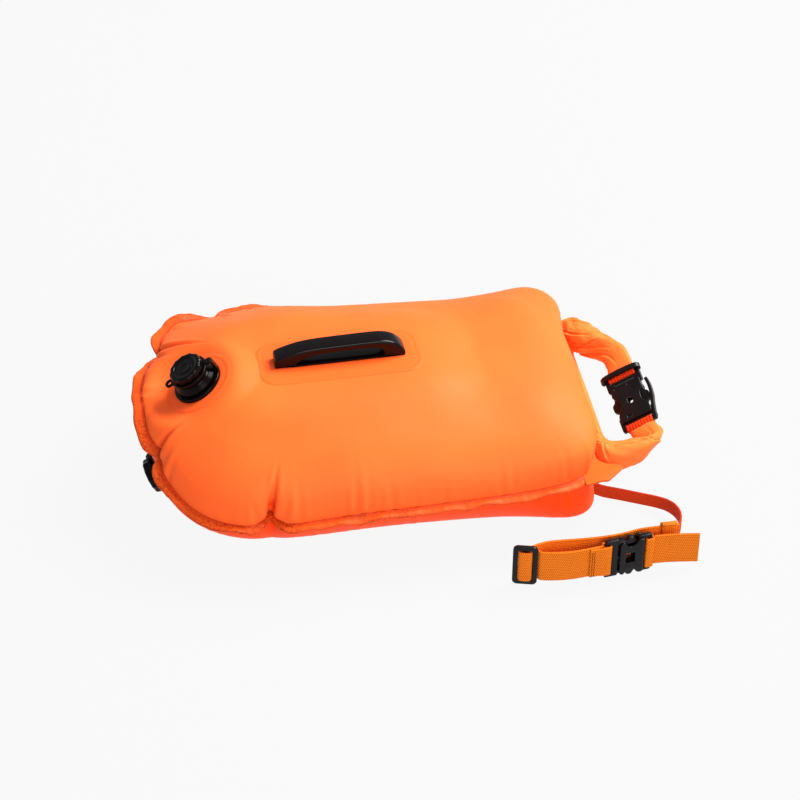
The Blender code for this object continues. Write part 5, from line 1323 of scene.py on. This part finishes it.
belt_tongue = place_on(buckle_male("belt_buckle_tongue", *BELT_SIZES, BELT_BUCKLE),
                       "bag", "plastic", "belt_buckle_male")
belt_socket = place_on(buckle_female("belt_buckle_socket", *BELT_SIZES, 0.004, BELT_BUCKLE),
                       "belt_socket", "plastic", "belt_buckle_female")
front_wrap = place_on(bar_wrap("belt_front_wrap", 0.0, BELT_WEBBING, WEBBING, BELT_BUCKLE, 0.0017),
                      "bag", "webbing", "belt_front_bar_loop")
tail_wrap = place_on(bar_wrap("belt_tail_wrap", 0.0377, BELT_WEBBING, WEBBING, BELT_BUCKLE, 0.0017),
                     "belt_socket", "webbing", "belt_tail_bar_loop")


# Belt and leash

LEASH_ROUTE = ((0.1918, -0.0606, 0.0070), (0.1985, -0.0660, 0.0070), (0.2044, -0.0704, 0.0070),
               (0.2171, -0.0766, 0.0070), (0.2329, -0.0847, 0.0070), (0.2445, -0.0913, 0.0074),
               (0.2520, -0.0985, 0.0090), (0.2560, -0.1080, 0.0120), (0.2572, -0.1180, 0.0155),
               (0.2566, -0.1280, 0.0185), (0.2540, -0.1380, 0.0205), (0.2490, -0.1462, 0.0212),
               (0.2452, -0.1497, 0.0212))
BELT_BACK_ROUTE = (
    (0.2480, -0.1535), (0.2340, -0.1535), (0.2200, -0.1535), (0.2110, -0.1542), (0.2020, -0.1560),
    (0.1900, -0.1574), (0.1760, -0.1577), (0.1620, -0.1572), (0.1480, -0.1562), (0.1350, -0.1557),
    (0.1255, -0.1572), (0.1190, -0.1592), (0.1140, -0.1597))
TURN_ROUTE = (
    (0.0068, -0.0041), (0.0052, -0.0030), (0.0051, -0.0006), (0.0058, 0.0017), (0.0082, 0.0027),
    (0.0126, 0.0027), (0.0150, 0.0018), (0.0158, -0.0006), (0.0166, -0.0023), (0.0182, -0.0028),
    (0.0200, -0.0027), (0.0216, -0.0016))
BELT_FRONT_ROUTE = (
    (0.1262, -0.1677), (0.1330, -0.1694), (0.1430, -0.1708), (0.1540, -0.1712), (0.1660, -0.1703),
    (0.1782, -0.1690))
BELT_TAIL_ROUTE = (
    (0.2236, -0.1643), (0.2340, -0.1647), (0.2440, -0.1658), (0.2530, -0.1670), (0.2620, -0.1684))
DOUBLED_ROUTE = (
    (-0.0135, 0.0020), (-0.0100, 0.0021), (-0.0060, 0.0024), (-0.0030, 0.0030), (0.0002, 0.0036))
SLIDER_SLOTS_X = (0.0065, 0.0145)
STITCH_ROWS_X = (-0.0118, -0.0098)
ANCHOR_TILT = math.radians(115)
THREAD = webbing_material("thread", (0.55, 0.12, 0.010), (0.42, 0.085, 0.008), 3.0)


def raised(route):
    return [Vector((x, y, BELT_LEVEL)) for x, y in route]


def in_side_view(matrix, route):
    return [matrix @ Vector((x, 0, z)) for x, z in route]


def keeper_band():
    """Band of webbing round the back strap."""
    half_y, half_z, wall = 0.0165, 0.0013, 0.0014
    outer, inner = [rounded([(-y, -z), (y, -z), (y, z), (-y, z)], corner, 5) for y, z, corner in (
        (half_y + wall, half_z + wall, 0.0014), (half_y, half_z, 0.0004))]
    rings, uvs = [], []
    count = len(outer)
    for line, x in ((inner, 0.0003), (outer, 0.0), (outer, 0.0047), (outer, 0.0093), (outer, 0.0140),
                    (inner, 0.0137)):
        rings.append([(x, y, z) for y, z in line])
        uvs.extend((index / count * 0.07, x / 0.014) for index in range(count))
    piece = loft("belt_keeper_band", rings, WEBBING, uvs, capped=False)
    piece.data.transform(KEEPER)
    return piece


def anchor():
    """Weld patch and sewn loop that the leash starts from."""
    matrix = frame_matrix((0.1827, -0.056, 0.0171), (math.cos(ANCHOR_TILT), 0, -math.sin(ANCHOR_TILT)),
                          (math.sin(ANCHOR_TILT), 0, math.cos(ANCHOR_TILT)))
    patch = patch_from("leash_weld_patch", lambda inset: round_rectangle(
        0.028 - 2 * inset, 0.034 - 2 * inset, 0.0085 - inset, 8), 0.0003, matrix)
    place_on(patch, "bag", "patch", "leash_anchor_patch")
    half_top, low, high, steps = 0.0073 / 2, 0.0023, 0.0077, 12
    run = 0.0204 / 2 - half_top
    angles = [math.pi / 2 * step / steps for step in range(steps + 1)]
    bend = [(half_top + run * math.cos(angle), low + (high - low) * math.sin(angle)) for angle in angles]
    bend += [(-x, z) for x, z in reversed(bend)]
    line = [Vector((x, 0, z)) for x, z in bend + bend[:1]]
    loop = strap_in(matrix, "leash_anchor_band", line, 0.016, BELT_THICKNESS, RED_WEBBING, (0, 1, 0))
    place_on(loop, "bag", "webbing_red", "leash_anchor_loop")


def stitches(name, matrix, rows, width, height, material):
    """Rows of short thread stitches across webbing, each a small arched bead of rings."""
    length, pitch, radius, margin = 0.0024, 0.0031, 0.00028, 0.0022
    bead_rings, sides = 5, 6
    points, faces = [], []
    for x in rows:
        place = -width / 2 + margin
        while place < width / 2 - margin:
            base = len(points)
            for ring in range(bead_rings):
                share = ring / (bead_rings - 1)
                lift = height + radius * (0.4 + 1.2 * math.sin(math.pi * share))
                for side in range(sides):
                    angle = 2 * math.pi * side / sides
                    points.append((x + radius * math.cos(angle), place + length * (share - 0.5) + 0.0001,
                                   lift + radius * math.sin(angle)))
            faces += [tuple(base + corner for corner in face) for face in grid_faces(bead_rings, sides)]
            place += pitch
    return face_out(mesh_object(name, transformed(points, matrix), faces, material))


belt_line = smooth_route(raised(BELT_BACK_ROUTE) + in_side_view(TRIGLIDE, TURN_ROUTE)
                         + raised(BELT_FRONT_ROUTE), 8)
belt_strap = strap("belt_strap", belt_line, BELT_WEBBING, BELT_THICKNESS, WEBBING)
belt_tail = place_on(strap("belt_tail_strap", smooth_route(raised(BELT_TAIL_ROUTE), 10), BELT_WEBBING,
                           BELT_THICKNESS, WEBBING), "belt_socket", "webbing", "belt_tail")
leash_line = smooth_route(LEASH_ROUTE, 8)
leash = strap("leash_webbing", leash_line, LEASH_WEBBING, BELT_THICKNESS, RED_WEBBING)
slider_slots = [round_rectangle(0.0046, 0.0326, 0.0010, 5, (x, 0)) for x in SLIDER_SLOTS_X]
adjuster = slab("belt_slider", (0.021, 0.042), 0.0044, 8, (0.0105, 0), 0.0017, 0.0008, TRIGLIDE, slider_slots)
place_on(adjuster, "belt_adjuster", "plastic", "belt_triglide")
keeper = place_on(keeper_band(), "belt_keeper_band", "webbing", "belt_keeper")
anchor()
doubled_line = smooth_route(in_side_view(BELT_BUCKLE, DOUBLED_ROUTE), 4)
doubled = place_on(strap("belt_doubled_end", doubled_line, 0.0312, 0.0014, WEBBING), "bag", "webbing")
sewn = place_on(stitches("belt_front_stitches", BELT_BUCKLE, STITCH_ROWS_X, BELT_WEBBING, 0.0029, THREAD),
                "bag", "webbing")

blend_on(belt_strap, "webbing", ["belt_back_strap", "belt_front_strap", "belt_triglide_turn"],
         "belt_adjuster", "bag", (0.126, -0.160, BELT_LEVEL), (0.172, -0.160, BELT_LEVEL))
blend_on(leash, "webbing_red", ["leash_strap"], "bag", "belt_keeper_band",
         (0.2100, -0.0731, 0.0070), (0.2490, -0.1462, 0.0212))


# Looks of the solids that stay as they are

looks = {"shell": ARM_PAINTED_LIGHT, "shell_lower": LOWER_PAINTED_SHADE, "liner": LINER, "flange": SEAM, "patch": PATCH,
         "webbing": WEBBING, "webbing_red": RED_WEBBING, "plastic": PLASTIC, "rubber": RUBBER,
         "stiffener": PLASTIC}
slots = {entry["node"]: entry["material_slot"] for entry in frame["record"]["subparts"]}
for name, piece in frame["nodes"].items():
    piece.data.materials.clear()
    piece.data.materials.append(looks[slots[name]])

bpy.context.view_layer.update()
